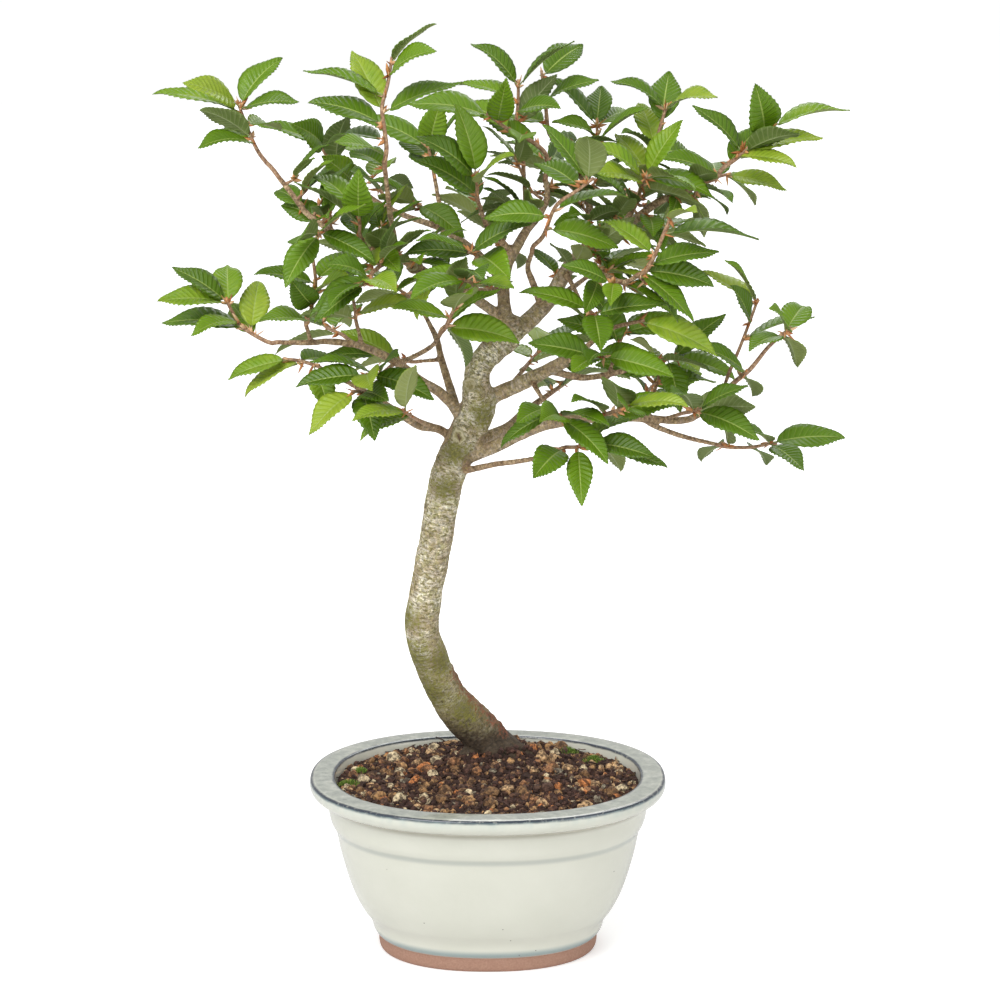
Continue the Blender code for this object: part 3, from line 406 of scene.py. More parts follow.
# %% Glaze
glaze, tree, shader = start_material("celadon glaze, glossy over stoneware", Roughness=0.16)
millimetres = millimetre_place(tree)
run = add(tree, "ShaderNodeAttribute", attribute_name="run").outputs["Fac"]
cloud = add(tree, "ShaderNodeTexNoise", {"Vector": millimetres, "Scale": 0.035, "Detail": 5.0})
colour = mix(tree, cloud.outputs["Fac"], linear("#d3d4c6"), linear("#dfdfd3"))
# Each band darkens the glaze near its place on the section; under the lip this darkening is painted
# shade.
for pool, (reach, share, tone) in zip(GLAZE_POOLS_AND_LIP_SHADE, POOL_AND_LIP_SHADE_LOOKS):
    away = maths(tree, "SUBTRACT", run, pool)
    away = maths(tree, "ABSOLUTE", away)
    depth = remap(tree, away, (0.3, reach), (share, 0.0), smooth=True)
    colour = mix(tree, depth, colour, linear(tone))
rim_top = remap(tree, run, (OUTER_LINE + 0.8, OUTER_LINE + 2.5), (0.0, 1.0))
mottle = add(tree, "ShaderNodeTexNoise", {"Vector": millimetres, "Scale": 0.16, "Detail": 6.0,
                                          "Roughness": 0.65}).outputs["Fac"]
stone = add(tree, "ShaderNodeValToRGB", {"Fac": mottle},
            [(0.3, "#999d97"), (0.5, "#b1b5ab"), (0.68, "#cbccc2")]).outputs["Color"]
past_rim = maths(tree, "LESS_THAN", run, INNER_LINE)
flat_top = maths(tree, "MULTIPLY", rim_top, past_rim)
colour = mix(tree, flat_top, colour, stone)
print("glaze nodes for its tones:", len(tree.nodes))

# %% [markdown]
# The dark lines are about two millimetres wide, waver with the glaze, and are broken
# in places. Below the outer one the glaze has run down in faint aqua tears, which are
# long because they follow the fall of the pot's side.

# %% Glaze, its lines, tears and pinholes
waver = add(tree, "ShaderNodeTexNoise", {"Vector": millimetres, "Scale": 0.1, "Detail": 2.0})
waver = maths(tree, "MULTIPLY_ADD", waver.outputs["Fac"], 1.5, run)
broken = add(tree, "ShaderNodeTexNoise", {"Vector": millimetres, "Scale": 0.45, "Detail": 4.0})
broken = remap(tree, broken.outputs["Fac"], (0.32, 0.46), (0.75, 1.0))
for line, width, share in ((OUTER_LINE, 2.1, 0.97), (INNER_LINE, 1.7, 0.95)):
    away = maths(tree, "SUBTRACT", waver, line + 0.75)
    away = maths(tree, "ABSOLUTE", away)
    ink = remap(tree, away, (0.25 * width, width), (share, 0.0), smooth=True)
    ink = maths(tree, "MULTIPLY", ink, broken)
    colour = mix(tree, ink, colour, linear("#2b3645"))
fall = add(tree, "ShaderNodeVectorMath", {0: millimetres, 1: (0.16, 0.16, 0.05)},
           operation="MULTIPLY").outputs["Vector"]
tears = add(tree, "ShaderNodeTexNoise", {"Vector": fall, "Scale": 1.0, "Detail": 2.0})
tears = add(tree, "ShaderNodeValToRGB", {"Fac": tears.outputs["Fac"]},
            [(0.4, 0.25), (0.75, 0.8)]).outputs["Color"]
reach = remap(tree, run, (OUTER_LINE - 6.5, OUTER_LINE - 0.5), (0.0, 0.6))
above = maths(tree, "LESS_THAN", run, OUTER_LINE - 0.5)
reach = maths(tree, "MULTIPLY", reach, above)
reach = maths(tree, "MULTIPLY", reach, tears)
colour = mix(tree, reach, colour, linear("#93aeb0"))
holes = add(tree, "ShaderNodeTexVoronoi", {"Vector": millimetres, "Scale": 0.075})
holes = add(tree, "ShaderNodeMapRange", {"Value": holes.outputs["Distance"], "From Min": 0.018,
                                         "From Max": 0.034, "To Min": 0.85, "To Max": 0.0})
colour = mix(tree, holes.outputs[0], colour, linear("#4a4038"))
ripple = add(tree, "ShaderNodeTexNoise", {"Vector": millimetres, "Scale": 0.12, "Detail": 3.0})
bump = add(tree, "ShaderNodeBump", {"Height": ripple.outputs["Fac"], "Strength": 0.12,
                                    "Distance": 0.002})
tree.links.new(colour, shader.inputs["Base Color"])
tree.links.new(bump.outputs["Normal"], shader.inputs["Normal"])
shader.inputs["Coat Weight"].default_value = 0.35
print("glaze nodes:", len(tree.nodes))

# %% [markdown]
# Bare stoneware is matt, pinkish and slightly gritty, with fine dark grains of iron
# in it. It stays rough to the eye because nothing has melted over it.

# %% Bare clay
clay, tree, shader = start_material("bare stoneware, wiped and fired", Roughness=0.88)
place = add(tree, "ShaderNodeTexCoord").outputs["Object"]
grain = add(tree, "ShaderNodeTexNoise", {"Vector": place, "Scale": 900.0, "Detail": 5.0})
tone = add(tree, "ShaderNodeValToRGB", {"Fac": grain.outputs["Fac"]},
           [(0.25, "#a27b68"), (0.55, "#ad8774"), (0.85, "#b8937f")]).outputs["Color"]
bump = add(tree, "ShaderNodeBump", {"Height": grain.outputs["Fac"], "Strength": 0.3,
                                    "Distance": 0.0004})
tree.links.new(tone, shader.inputs["Base Color"])
tree.links.new(bump.outputs["Normal"], shader.inputs["Normal"])
pot = finish_piece("glazed_pot", pot_mesh, [glaze, clay], ["pot"])
print("pot:", [round(v * 1000, 1) for v in pot.dimensions])

# %% [markdown]
# ## Drain screens
# Squares of plastic netting lie over the holes and keep the soil in. A square grid
# of faces becomes bars by the wireframe operator, about as stiff netting is cast.

# %% Drain screens
SCREEN_SIZE = 24.0
SCREEN_MIDDLE = 12.75
netting, tree, shader = start_material("black plastic netting, moulded", Roughness=0.5)
place = add(tree, "ShaderNodeTexCoord").outputs["Object"]
dust = add(tree, "ShaderNodeTexNoise", {"Vector": place, "Scale": 400.0, "Detail": 3.0})
tone = add(tree, "ShaderNodeValToRGB", {"Fac": dust.outputs["Fac"]},
           [(0.4, "#101010"), (0.75, "#2c2a26")]).outputs["Color"]
tree.links.new(tone, shader.inputs["Base Color"])

for name, side in (("drain_screen_left", -1), ("drain_screen_right", 1)):
    bm = bmesh.new()
    bmesh.ops.create_grid(bm, x_segments=9, y_segments=9, size=SCREEN_SIZE / 2.0 - 0.4,
                          matrix=Matrix.Translation((side * DRAIN_X, 0.0, SCREEN_MIDDLE)))
    bmesh.ops.wireframe(bm, faces=bm.faces, thickness=0.38, use_replace=True,
                        use_boundary=True, use_even_offset=True)
    screen = finish_piece("netting_" + name[13:], mesh_from(bm, name), [netting],
                          [name], smooth=False)
    print(screen.name, triangles(screen.data), "triangles")

# %% [markdown]
# ## Soil
# The soil is a mix of fired clay grains and grit, mounded a little up to the trunk.
# Under the loose grains lies one solid bed that fills the pot. Its section runs up
# the inside of the wall and then inward over the top in narrowing rings.

# %% The soil's shape
SOIL_EDGE_HEIGHT = 96.5
SOIL_MOUND = 6.4
SOIL_MOUND_REACH = 38.0
TRUNK_FOOT = (1.0, 42.0)
SOIL_GAP = 0.35


def soil_height(x, y):
    """Height of the bed: a low mound round the trunk, and some unevenness."""
    away = math.hypot(x - TRUNK_FOOT[0], y - TRUNK_FOOT[1])
    mound = SOIL_MOUND * math.exp(-(away / SOIL_MOUND_REACH) ** 2)
    return SOIL_EDGE_HEIGHT + mound + 0.9 * noise.noise(Vector((x, y, 0.0)) * 0.07) - 0.6


section = [(inset + SOIL_GAP, height + SOIL_GAP) for inset, height in reversed(POT_INSIDE[2:])]
edge_inset = RIM_WIDTH + 0.9
section.append((edge_inset, SOIL_EDGE_HEIGHT))
inward = [edge_inset + (POT_HALF_DEPTH - edge_inset - 2.0) * step / 24 for step in range(1, 25)]
section += [(inset, SOIL_EDGE_HEIGHT) for inset in inward]
soil_bm = oval_sweep(section, 96)
for vert in soil_bm.verts:
    if vert.co.z > SOIL_EDGE_HEIGHT - 0.1:
        vert.co.z = soil_height(vert.co.x, vert.co.y)
soil_bed = mesh_from(soil_bm, "soil bed")
print("triangles in the soil bed:", triangles(soil_bed))

# %% [markdown]
# ## Copies of a small shape
# Grains, buds and leaf stalks are one small shape repeated with other places, turns
# and sizes. One function lays the copies one after another in a mesh, moves each by
# its own matrix, and gives all points of a copy one value, its tint.

# %% Lay copies of a template
def copies(template, matrices, tints):
    """A mesh with a copy of the template for each matrix, tinted one by one."""
    bm = bmesh.new()
    for matrix in matrices:
        bm.from_mesh(template)
    mesh = bpy.data.meshes.new(template.name)
    bm.to_mesh(mesh)
    bm.free()
    points = np.empty(len(mesh.vertices) * 3, np.float32)
    mesh.vertices.foreach_get("co", points)
    points = points.reshape(len(matrices), -1, 3)
    moves = np.array([[list(row) for row in matrix] for matrix in matrices])
    points = np.einsum("nij,nvj->nvi", moves[:, :3, :3], points) + moves[:, None, :3, 3]
    mesh.vertices.foreach_set("co", points.astype(np.float32).ravel())
    tint = mesh.attributes.new("tint", "FLOAT", "POINT")
    tint.data.foreach_set("value", np.repeat(np.array(tints, np.float32), points.shape[1]))
    mesh.update()
    return mesh


def placing(place, along, size, spin=0.0):
    """The matrix that turns a shape's Z along a direction, sizes it and places it."""
    turn = Vector(along).to_track_quat("Z", "Y").to_matrix().to_4x4()
    return (Matrix.Translation(place) @ turn @ Matrix.Rotation(spin, 4, "Z")
            @ Matrix.Diagonal((*size, 1.0)))


def lump(name, subdivisions, seed, smallest=0.78):
    """A small lump with an uneven skin, the craggier the smaller its least radius."""
    bm = bmesh.new()
    bmesh.ops.create_icosphere(bm, subdivisions=subdivisions, radius=1.0)
    rng = random.Random(seed)
    for vert in bm.verts:
        vert.co *= rng.uniform(smallest, 1.16)
    return mesh_from(bm, name)


grain_shape = lump("grain", 1, 5)
chip_shape = lump("chip", 2, 6, 0.66)
print("triangles in a grain and a chip:", triangles(grain_shape), triangles(chip_shape))

# %% [markdown]
# Fine dark crumbs cover the whole bed. Over them lie stones and coarse chips, most of
# them near the wall, where watering has washed them. A grain is sunk by about a
# third of its size, so none seems to float. The coarse chips are seen one by one, so
# their shape has more faces.

# %% Scatter the grains
CRUMBS = 2900
STONES = 820
CHIPS = 260


def on_soil(rng, spread):
    """A random place on the soil; a spread over 0.5 crowds places to the wall."""
    turn = rng.random()
    share = rng.random() ** (1.0 - spread)
    inset = edge_inset + 1.2
    edge = oval_point(turn, inset, 0.0)
    x, y = edge.x * share, edge.y * share
    return Vector((x, y, soil_height(x, y)))


def grains(rng, count, sizes, spread):
    """Matrices and tints for a scatter of grains."""
    moves, tints = [], []
    for number in range(count):
        place = on_soil(rng, spread)
        size = rng.uniform(*sizes) * rng.choice((0.7, 0.85, 1.0))
        flat = [size * rng.uniform(0.7, 1.2) for axis in range(3)]
        along = (rng.uniform(-1, 1), rng.uniform(-1, 1), rng.uniform(-1, 1))
        place.z += size * 0.25
        moves.append(placing(place, along, flat, rng.uniform(0, 6.3)))
        tints.append(rng.random())
    return moves, tints


rng = random.Random(21)
crumbs = copies(grain_shape, *grains(rng, CRUMBS, (1.0, 2.3), 0.5))
stones = copies(grain_shape, *grains(rng, STONES, (0.8, 2.2), 0.6))
chips = copies(chip_shape, *grains(rng, CHIPS, (2.0, 4.3), 0.6))
print("triangles in the grains:", sum(triangles(mesh) for mesh in (crumbs, stones, chips)))

# %% [markdown]
# Moss has settled at the left wall and behind the trunk on the right. A tuft is a
# spray of small pointed leaves, here four-sided spikes that lean out from the middle.

# %% Moss
MOSS = [(-79.0, -8.0, 6.0), (-74.0, 14.0, 4.0), (62.0, 34.0, 6.0), (48.0, 48.0, 5.0)]
bm = bmesh.new()
bmesh.ops.create_cone(bm, cap_ends=False, segments=4, radius1=0.32, radius2=0.02, depth=2.6,
                      matrix=Matrix.Translation((0.0, 0.0, 1.0)))
spike = mesh_from(bm, "moss spike")
rng = random.Random(8)
moves, tints = [], []
for x, y, reach in MOSS:
    for number in range(int(26 * reach)):
        angle = rng.uniform(0, 2.0 * math.pi)
        away = reach * rng.random() ** 0.8
        px, py = x + away * math.cos(angle), y + 0.7 * away * math.sin(angle)
        hump = 2.4 * (1.0 - away / reach)
        lean = (0.5 * math.cos(angle) + rng.uniform(-0.5, 0.5), 0.5 * math.sin(angle), 1.0)
        moves.append(placing((px, py, soil_height(px, py) + 0.6 + hump), lean, (1.0, 1.0, 1.0)))
        tints.append(rng.random())
moss_mesh = copies(spike, moves, tints)
print("moss spikes:", len(moves))

# %% [markdown]
# Each grain has one colour all over, as real grains have, so the colour comes from
# its tint by a ramp with hard steps. Crumbs are wet dark clay. Stones are tan, cream,
# rust and grey, as a bonsai mix of akadama, pumice and lava is. All are quite matt.

# %% Soil materials
def grain_material(name, palette, roughness):
    """A matt granular material whose colour follows each grain's tint."""
    material, tree, shader = start_material(name, Roughness=roughness)
    tint = add(tree, "ShaderNodeAttribute", attribute_name="tint").outputs["Fac"]
    ramp = add(tree, "ShaderNodeValToRGB", {"Fac": tint}, palette)
    ramp.color_ramp.interpolation = "CONSTANT"
    place = add(tree, "ShaderNodeTexCoord").outputs["Object"]
    grit = add(tree, "ShaderNodeTexNoise", {"Vector": place, "Scale": 1400.0, "Detail": 4.0})
    shade = remap(tree, grit.outputs["Fac"], (0.0, 1.0), (0.3, 1.6))
    colour = add(tree, "ShaderNodeVectorMath", {0: ramp.outputs["Color"], "Scale": shade},
                 operation="SCALE").outputs["Vector"]
    # A noise darkens each grain in small pits.
    pits = add(tree, "ShaderNodeTexNoise", {"Vector": place, "Scale": 420.0, "Detail": 5.0,
                                            "Roughness": 0.7})
    dark_pits = add(tree, "ShaderNodeValToRGB", {"Fac": pits.outputs["Fac"]},
               [(0.44, 0.85), (0.58, 0.0)]).outputs["Color"]
    colour = mix(tree, dark_pits, colour, linear("#35231b"))
    bump = add(tree, "ShaderNodeBump", {"Height": grit.outputs["Fac"], "Strength": 0.6,
                                        "Distance": 0.0005})
    tree.links.new(colour, shader.inputs["Base Color"])
    tree.links.new(bump.outputs["Normal"], shader.inputs["Normal"])
    return material


crumb = grain_material("damp crumbled soil", [(0.0, "#462f27"), (0.3, "#604238"), (0.6, "#3b2722"),
                       (0.78, "#805c47"), (0.9, "#ab835f")], 0.92)
stone = grain_material("akadama, pumice and lava grit", [(0.0, "#9a744d"), (0.18, "#c79a68"),
                       (0.36, "#e6bd8c"), (0.5, "#6b4f41"), (0.6, "#e39155"), (0.7, "#aba089"),
                       (0.74, "#f4deb4"), (0.88, "#bb855a")], 0.85)
green, tree, shader = start_material("moss, soft and dry", Roughness=0.8)
tint = add(tree, "ShaderNodeAttribute", attribute_name="tint").outputs["Fac"]
tone = add(tree, "ShaderNodeValToRGB", {"Fac": tint},
           [(0.0, "#3d5a1c"), (0.6, "#6e8f34"), (1.0, "#a4b455")]).outputs["Color"]
tree.links.new(tone, shader.inputs["Base Color"])
print("soil materials:", crumb.name, "/", stone.name, "/", green.name)

# %% [markdown]
# ## The tree's plan
# The trunk leans left out of the soil, swings back and forks into limbs. Each entry
# is a point on an axis, and the trunk's last number is its radius. These are the
# same lines that the plain model is built on, so bark and leaves fall where its
# solids are. Only the skin's own foot is a little slimmer, as in the photograph.

# %% Trunk
TRUNK_FOOT_BOTTOM = 68.35
TRUNK = [
    (1, 42, 108, 14.7), (-14, 37, 125, 12.0),
    (-24, 32, 139, 10.9), (-35, 22, 168, 10.2), (-38, 18, 185, 9.8), (-33, 12, 215, 9.6),
    (-28, 7, 243, 9.5), (-23, 4, 271, 9.8), (-13, 4, 295, 9.8), (-5, 2, 313, 9.8),
    (-6, 0, 326, 7.8), (-4, 1, 336, 7.0), (4, 3, 345, 7.4), (15, 4, 352, 6.4),
]

print("trunk points:", len(TRUNK))

# %% Limbs and branches
BRANCHES = [
    ("leader_left", 6, 4.2, 1.5, [(13, 4, 349), (10, 0, 363), (9, 2, 379), (11, 5, 391),
        (16, 8, 400), (22, 10, 410), (28, 12, 417), (33, 14, 427), (32, 14, 438)]),
    ("leader_right", 6, 5.0, 1.4, [(14, 4, 352), (27, 6, 364), (35, 8, 373), (46, 11, 391),
        (54, 13, 397), (73, 17, 408), (91, 20, 422), (100, 19, 427), (121, 14, 436)]),
    ("b1", 4, 2.3, 1.3, [(30, 7, 368), (25, -8, 382), (22, -17, 391), (24, -28, 400)]),
    ("b2", 6, 2.6, 1.4, [(54, 13, 397), (56, 25, 410), (57, 32, 424), (55, 36, 433),
        (48, 38, 444), (40, 40, 454)]),
    ("b2_spur", 4, 1.6, 1.2, [(55, 36, 433), (58, 41, 440)]),
    ("b3", 4, 2.0, 1.3, [(73, 17, 408), (82, 28, 422), (87, 36, 435)]),
    ("b3_side_spur", 4, 1.4, 1.1, [(82, 28, 422), (84, 14, 430)]),
    ("r_spur", 4, 1.6, 1.1, [(43, 10, 387), (48, -8, 378), (50, -18, 374)]),
    ("b5", 4, 2.3, 1.3, [(47, 11, 392), (61, -18, 388), (73, -37, 385), (80, -48, 390)]),
    ("b_spur", 4, 1.5, 1.1, [(109, 17, 429), (117, 26, 433)]),
    ("top_spur", 4, 1.8, 1.2, [(22, 10, 410), (21, 15, 426), (20, 19, 442)]),
    ("limb_c", 6, 3.0, 1.3, [(10, 0, 361), (-2, -5, 370), (-11, -10, 377), (-30, -16, 387),
        (-50, -24, 398), (-64, -26, 401), (-77, -28, 408), (-95, -28, 420),
        (-103, -26, 430), (-111, -24, 440)]),
    ("c_spur", 4, 1.5, 1.1, [(-64, -26, 401), (-66, -33, 407)]),
    ("c_low_spur", 4, 1.5, 1.1, [(-84, -28, 412), (-88, -40, 412)]),
    ("c_front_spur", 4, 1.9, 1.2, [(-48, -23, 397), (-55, -44, 395), (-58, -56, 393)]),
    ("limb_d", 6, 2.6, 1.3, [(9, 2, 381), (-2, 15, 393), (-11, 25, 400), (-27, 38, 409),
        (-46, 48, 415), (-60, 53, 421), (-73, 56, 430)]),
    ("d_spur", 4, 1.4, 1.1, [(-54, 51, 418), (-59, 60, 425)]),
    ("d2", 4, 1.8, 1.2, [(-23, 35, 407), (-27, 45, 421), (-30, 52, 436)]),
    ("d_inner_spur", 4, 1.5, 1.1, [(-30, 40, 410), (-33, 28, 417)]),
    ("e", 4, 1.8, 1.3, [(-48, -23, 398), (-50, -40, 415), (-51, -53, 428), (-52, -62, 443)]),
    ("g", 4, 2.1, 1.2, [(14, 6, 396), (7, 0, 405), (0, -12, 413), (-4, -25, 425)]),
    ("limb_h", 6, 3.2, 1.3, [(-12, 4, 301), (-20, 3, 314), (-28, 0, 322), (-37, -4, 328),
        (-50, -10, 339), (-68, -14, 348), (-86, -16, 351), (-98, -14, 350), (-114, -11, 350)]),
    ("h_spur", 4, 1.5, 1.2, [(-96, -14, 350), (-97, -22, 358)]),
    ("h_mid_spur", 4, 1.5, 1.1, [(-68, -14, 348), (-70, -18, 358)]),
    ("h_low_spur", 4, 1.5, 1.1, [(-50, -10, 339), (-55, -24, 336)]),
    ("limb_i", 6, 3.0, 1.3, [(-15, 4, 304), (-20, 14, 318), (-26, 26, 336), (-29, 34, 347),
        (-36, 48, 359)]),
    ("i_low_spur", 4, 1.5, 1.1, [(-26, 26, 336), (-38, 34, 334)]),
    ("limb_j", 6, 2.6, 1.2, [(-16, 5, 290), (-26, 6, 299), (-36, 4, 301), (-43, 0, 305),
        (-59, -10, 318), (-73, -16, 327), (-84, -18, 333)]),
    ("j_spur", 4, 1.5, 1.1, [(-58, -9, 317), (-62, -22, 319)]),
    ("j_front_spur", 4, 2.0, 1.2, [(-26, 6, 299), (-34, -16, 306), (-36, -28, 309)]),
    ("limb_k", 4, 1.7, 1.2, [(-50, -10, 339), (-42, -28, 343), (-29, -45, 352),
        (-24, -54, 360)]),
    ("limb_l", 6, 4.6, 3.3, [(-4, 2, 315), (11, 3, 322), (24, -4, 329), (36, -9, 336),
        (43, -12, 340)]),
    ("l1", 4, 1.9, 1.3, [(36, -9, 336), (48, -16, 343), (57, -25, 352), (63, -32, 357)]),
    ("l1_spur", 4, 1.4, 1.1, [(50, -18, 345), (54, -32, 344)]),
    ("l2", 6, 2.2, 1.2, [(34, -8, 334), (46, -7, 331), (57, -6, 330), (78, 4, 333),
        (89, 9, 337)]),
    ("l2_spur", 4, 1.4, 1.1, [(66, -3, 329), (70, 6, 338)]),
    ("l_under_spur", 4, 1.6, 1.1, [(24, -4, 329), (29, -20, 322), (33, -31, 319)]),
    ("limb_m", 6, 4.2, 1.5, [(-20, 4, 281), (3, 0, 290), (14, -3, 296), (27, -5, 302),
        (43, -6, 306), (74, -6, 308), (106, -6, 306), (117, -8, 310), (125, -10, 316),
        (130, -12, 323)]),
    ("m_spur", 4, 1.4, 1.1, [(128, -11, 320), (132, -2, 328)]),
    ("m_up_spur", 4, 1.5, 1.1, [(88, -6, 307), (92, 4, 318)]),
    ("m_mid_spur", 4, 1.4, 1.1, [(98, -6, 307), (104, -18, 311)]),
    ("limb_n", 4, 2.0, 1.2, [(-22, 4, 274), (3, -10, 282), (14, -19, 285), (27, -29, 289),
        (38, -39, 295)]),
    ("limb_o", 4, 1.8, 1.2, [(86, -6, 307), (94, -3, 302), (110, 6, 295), (130, 15, 289)]),
    ("limb_p", 6, 4.0, 1.6, [(-15, 4, 291), (0, 14, 294), (11, 24, 297), (21, 40, 304),
        (33, 58, 310)]),
    ("back_high", 4, 1.9, 1.2, [(11, 5, 391), (8, 28, 397), (2, 52, 404)]),
    ("back_right", 4, 2.2, 1.3, [(35, 8, 373), (45, 34, 374), (56, 58, 379)]),
    ("back_low", 4, 2.3, 1.3, [(-4, 2, 317), (10, 28, 318), (20, 54, 326)]),
    ("back_left", 4, 2.0, 1.2, [(-32, -17, 388), (-37, 12, 389), (-46, 38, 390)]),
    ("back_outer", 4, 1.8, 1.2, [(73, 17, 408), (84, 42, 404), (90, 56, 402)]),
    ("back_top", 4, 1.7, 1.1, [(56, 31, 423), (49, 52, 430), (44, 64, 434)]),
    ("back_m", 4, 1.8, 1.2, [(74, -6, 308), (80, 16, 308), (86, 34, 310)]),
    ("back_h", 4, 1.8, 1.2, [(-66, -14, 347), (-74, 8, 347), (-80, 24, 349)]),
    ("front_high", 4, 1.9, 1.2, [(9, 1, 377), (2, -22, 379), (-3, -38, 381)]),
    ("a_front_spur", 4, 1.5, 1.1, [(10, 4, 387), (2, -10, 392)]),
    ("front_right", 4, 1.8, 1.2, [(48, -7, 306), (54, -26, 310), (60, -42, 314)]),
]

print("branches:", len(BRANCHES))

# %% [markdown]
# Surface roots leave the trunk's foot and dive into the soil. The strongest one
# braces the tree against its lean, so it lies to the right. Knots swell where limbs
# join or were cut.

# %% Roots and knots
KNOTS = [
    ((-13, -5, 298), (6.2, 4.4, 6.6)), ((-6, -6, 320), (5.4, 4.2, 7.0)),
    ((-39, -20, 392), (4.6, 4.4, 4.2)), ((14, 0, 358), (6.6, 5.6, 6.0)),
    ((1, 3, 342), (7.6, 6.4, 6.4)), ((-36, 10, 201), (4.6, 4.2, 6.0)),
]
ROOTS = [
    (9.0, 3.0, [(3, 41, 108), (12, 39, 104), (22, 37, 100), (32, 35, 95)]),
    (8.0, 3.0, [(1, 37, 107), (4, 29, 102), (8, 22, 97), (12, 15, 92)]),
    (8.0, 3.0, [(-3, 41, 106), (-10, 37, 101), (-17, 32, 96), (-24, 28, 91)]),
    (8.0, 3.0, [(2, 46, 107), (7, 53, 102), (12, 59, 97), (17, 64, 91)]),
    (7.0, 2.6, [(-3, 46, 106), (-9, 53, 101), (-14, 59, 96), (-20, 64, 91)]),
    (7.0, 2.6, [(6, 38, 106), (14, 30, 101), (21, 23, 96), (27, 17, 91)]),
]
print("roots:", len(ROOTS), "knots:", len(KNOTS))

# %% [markdown]
# The leafy shoots: each grows from the end of a named branch, carries a number of
# leaves, and some leaves are placed one by one because they show against the light.
# Such a leaf is its place along the shoot, its heading from the front, its length,
# its lean to the front and how far its face turns from the sky to the front.

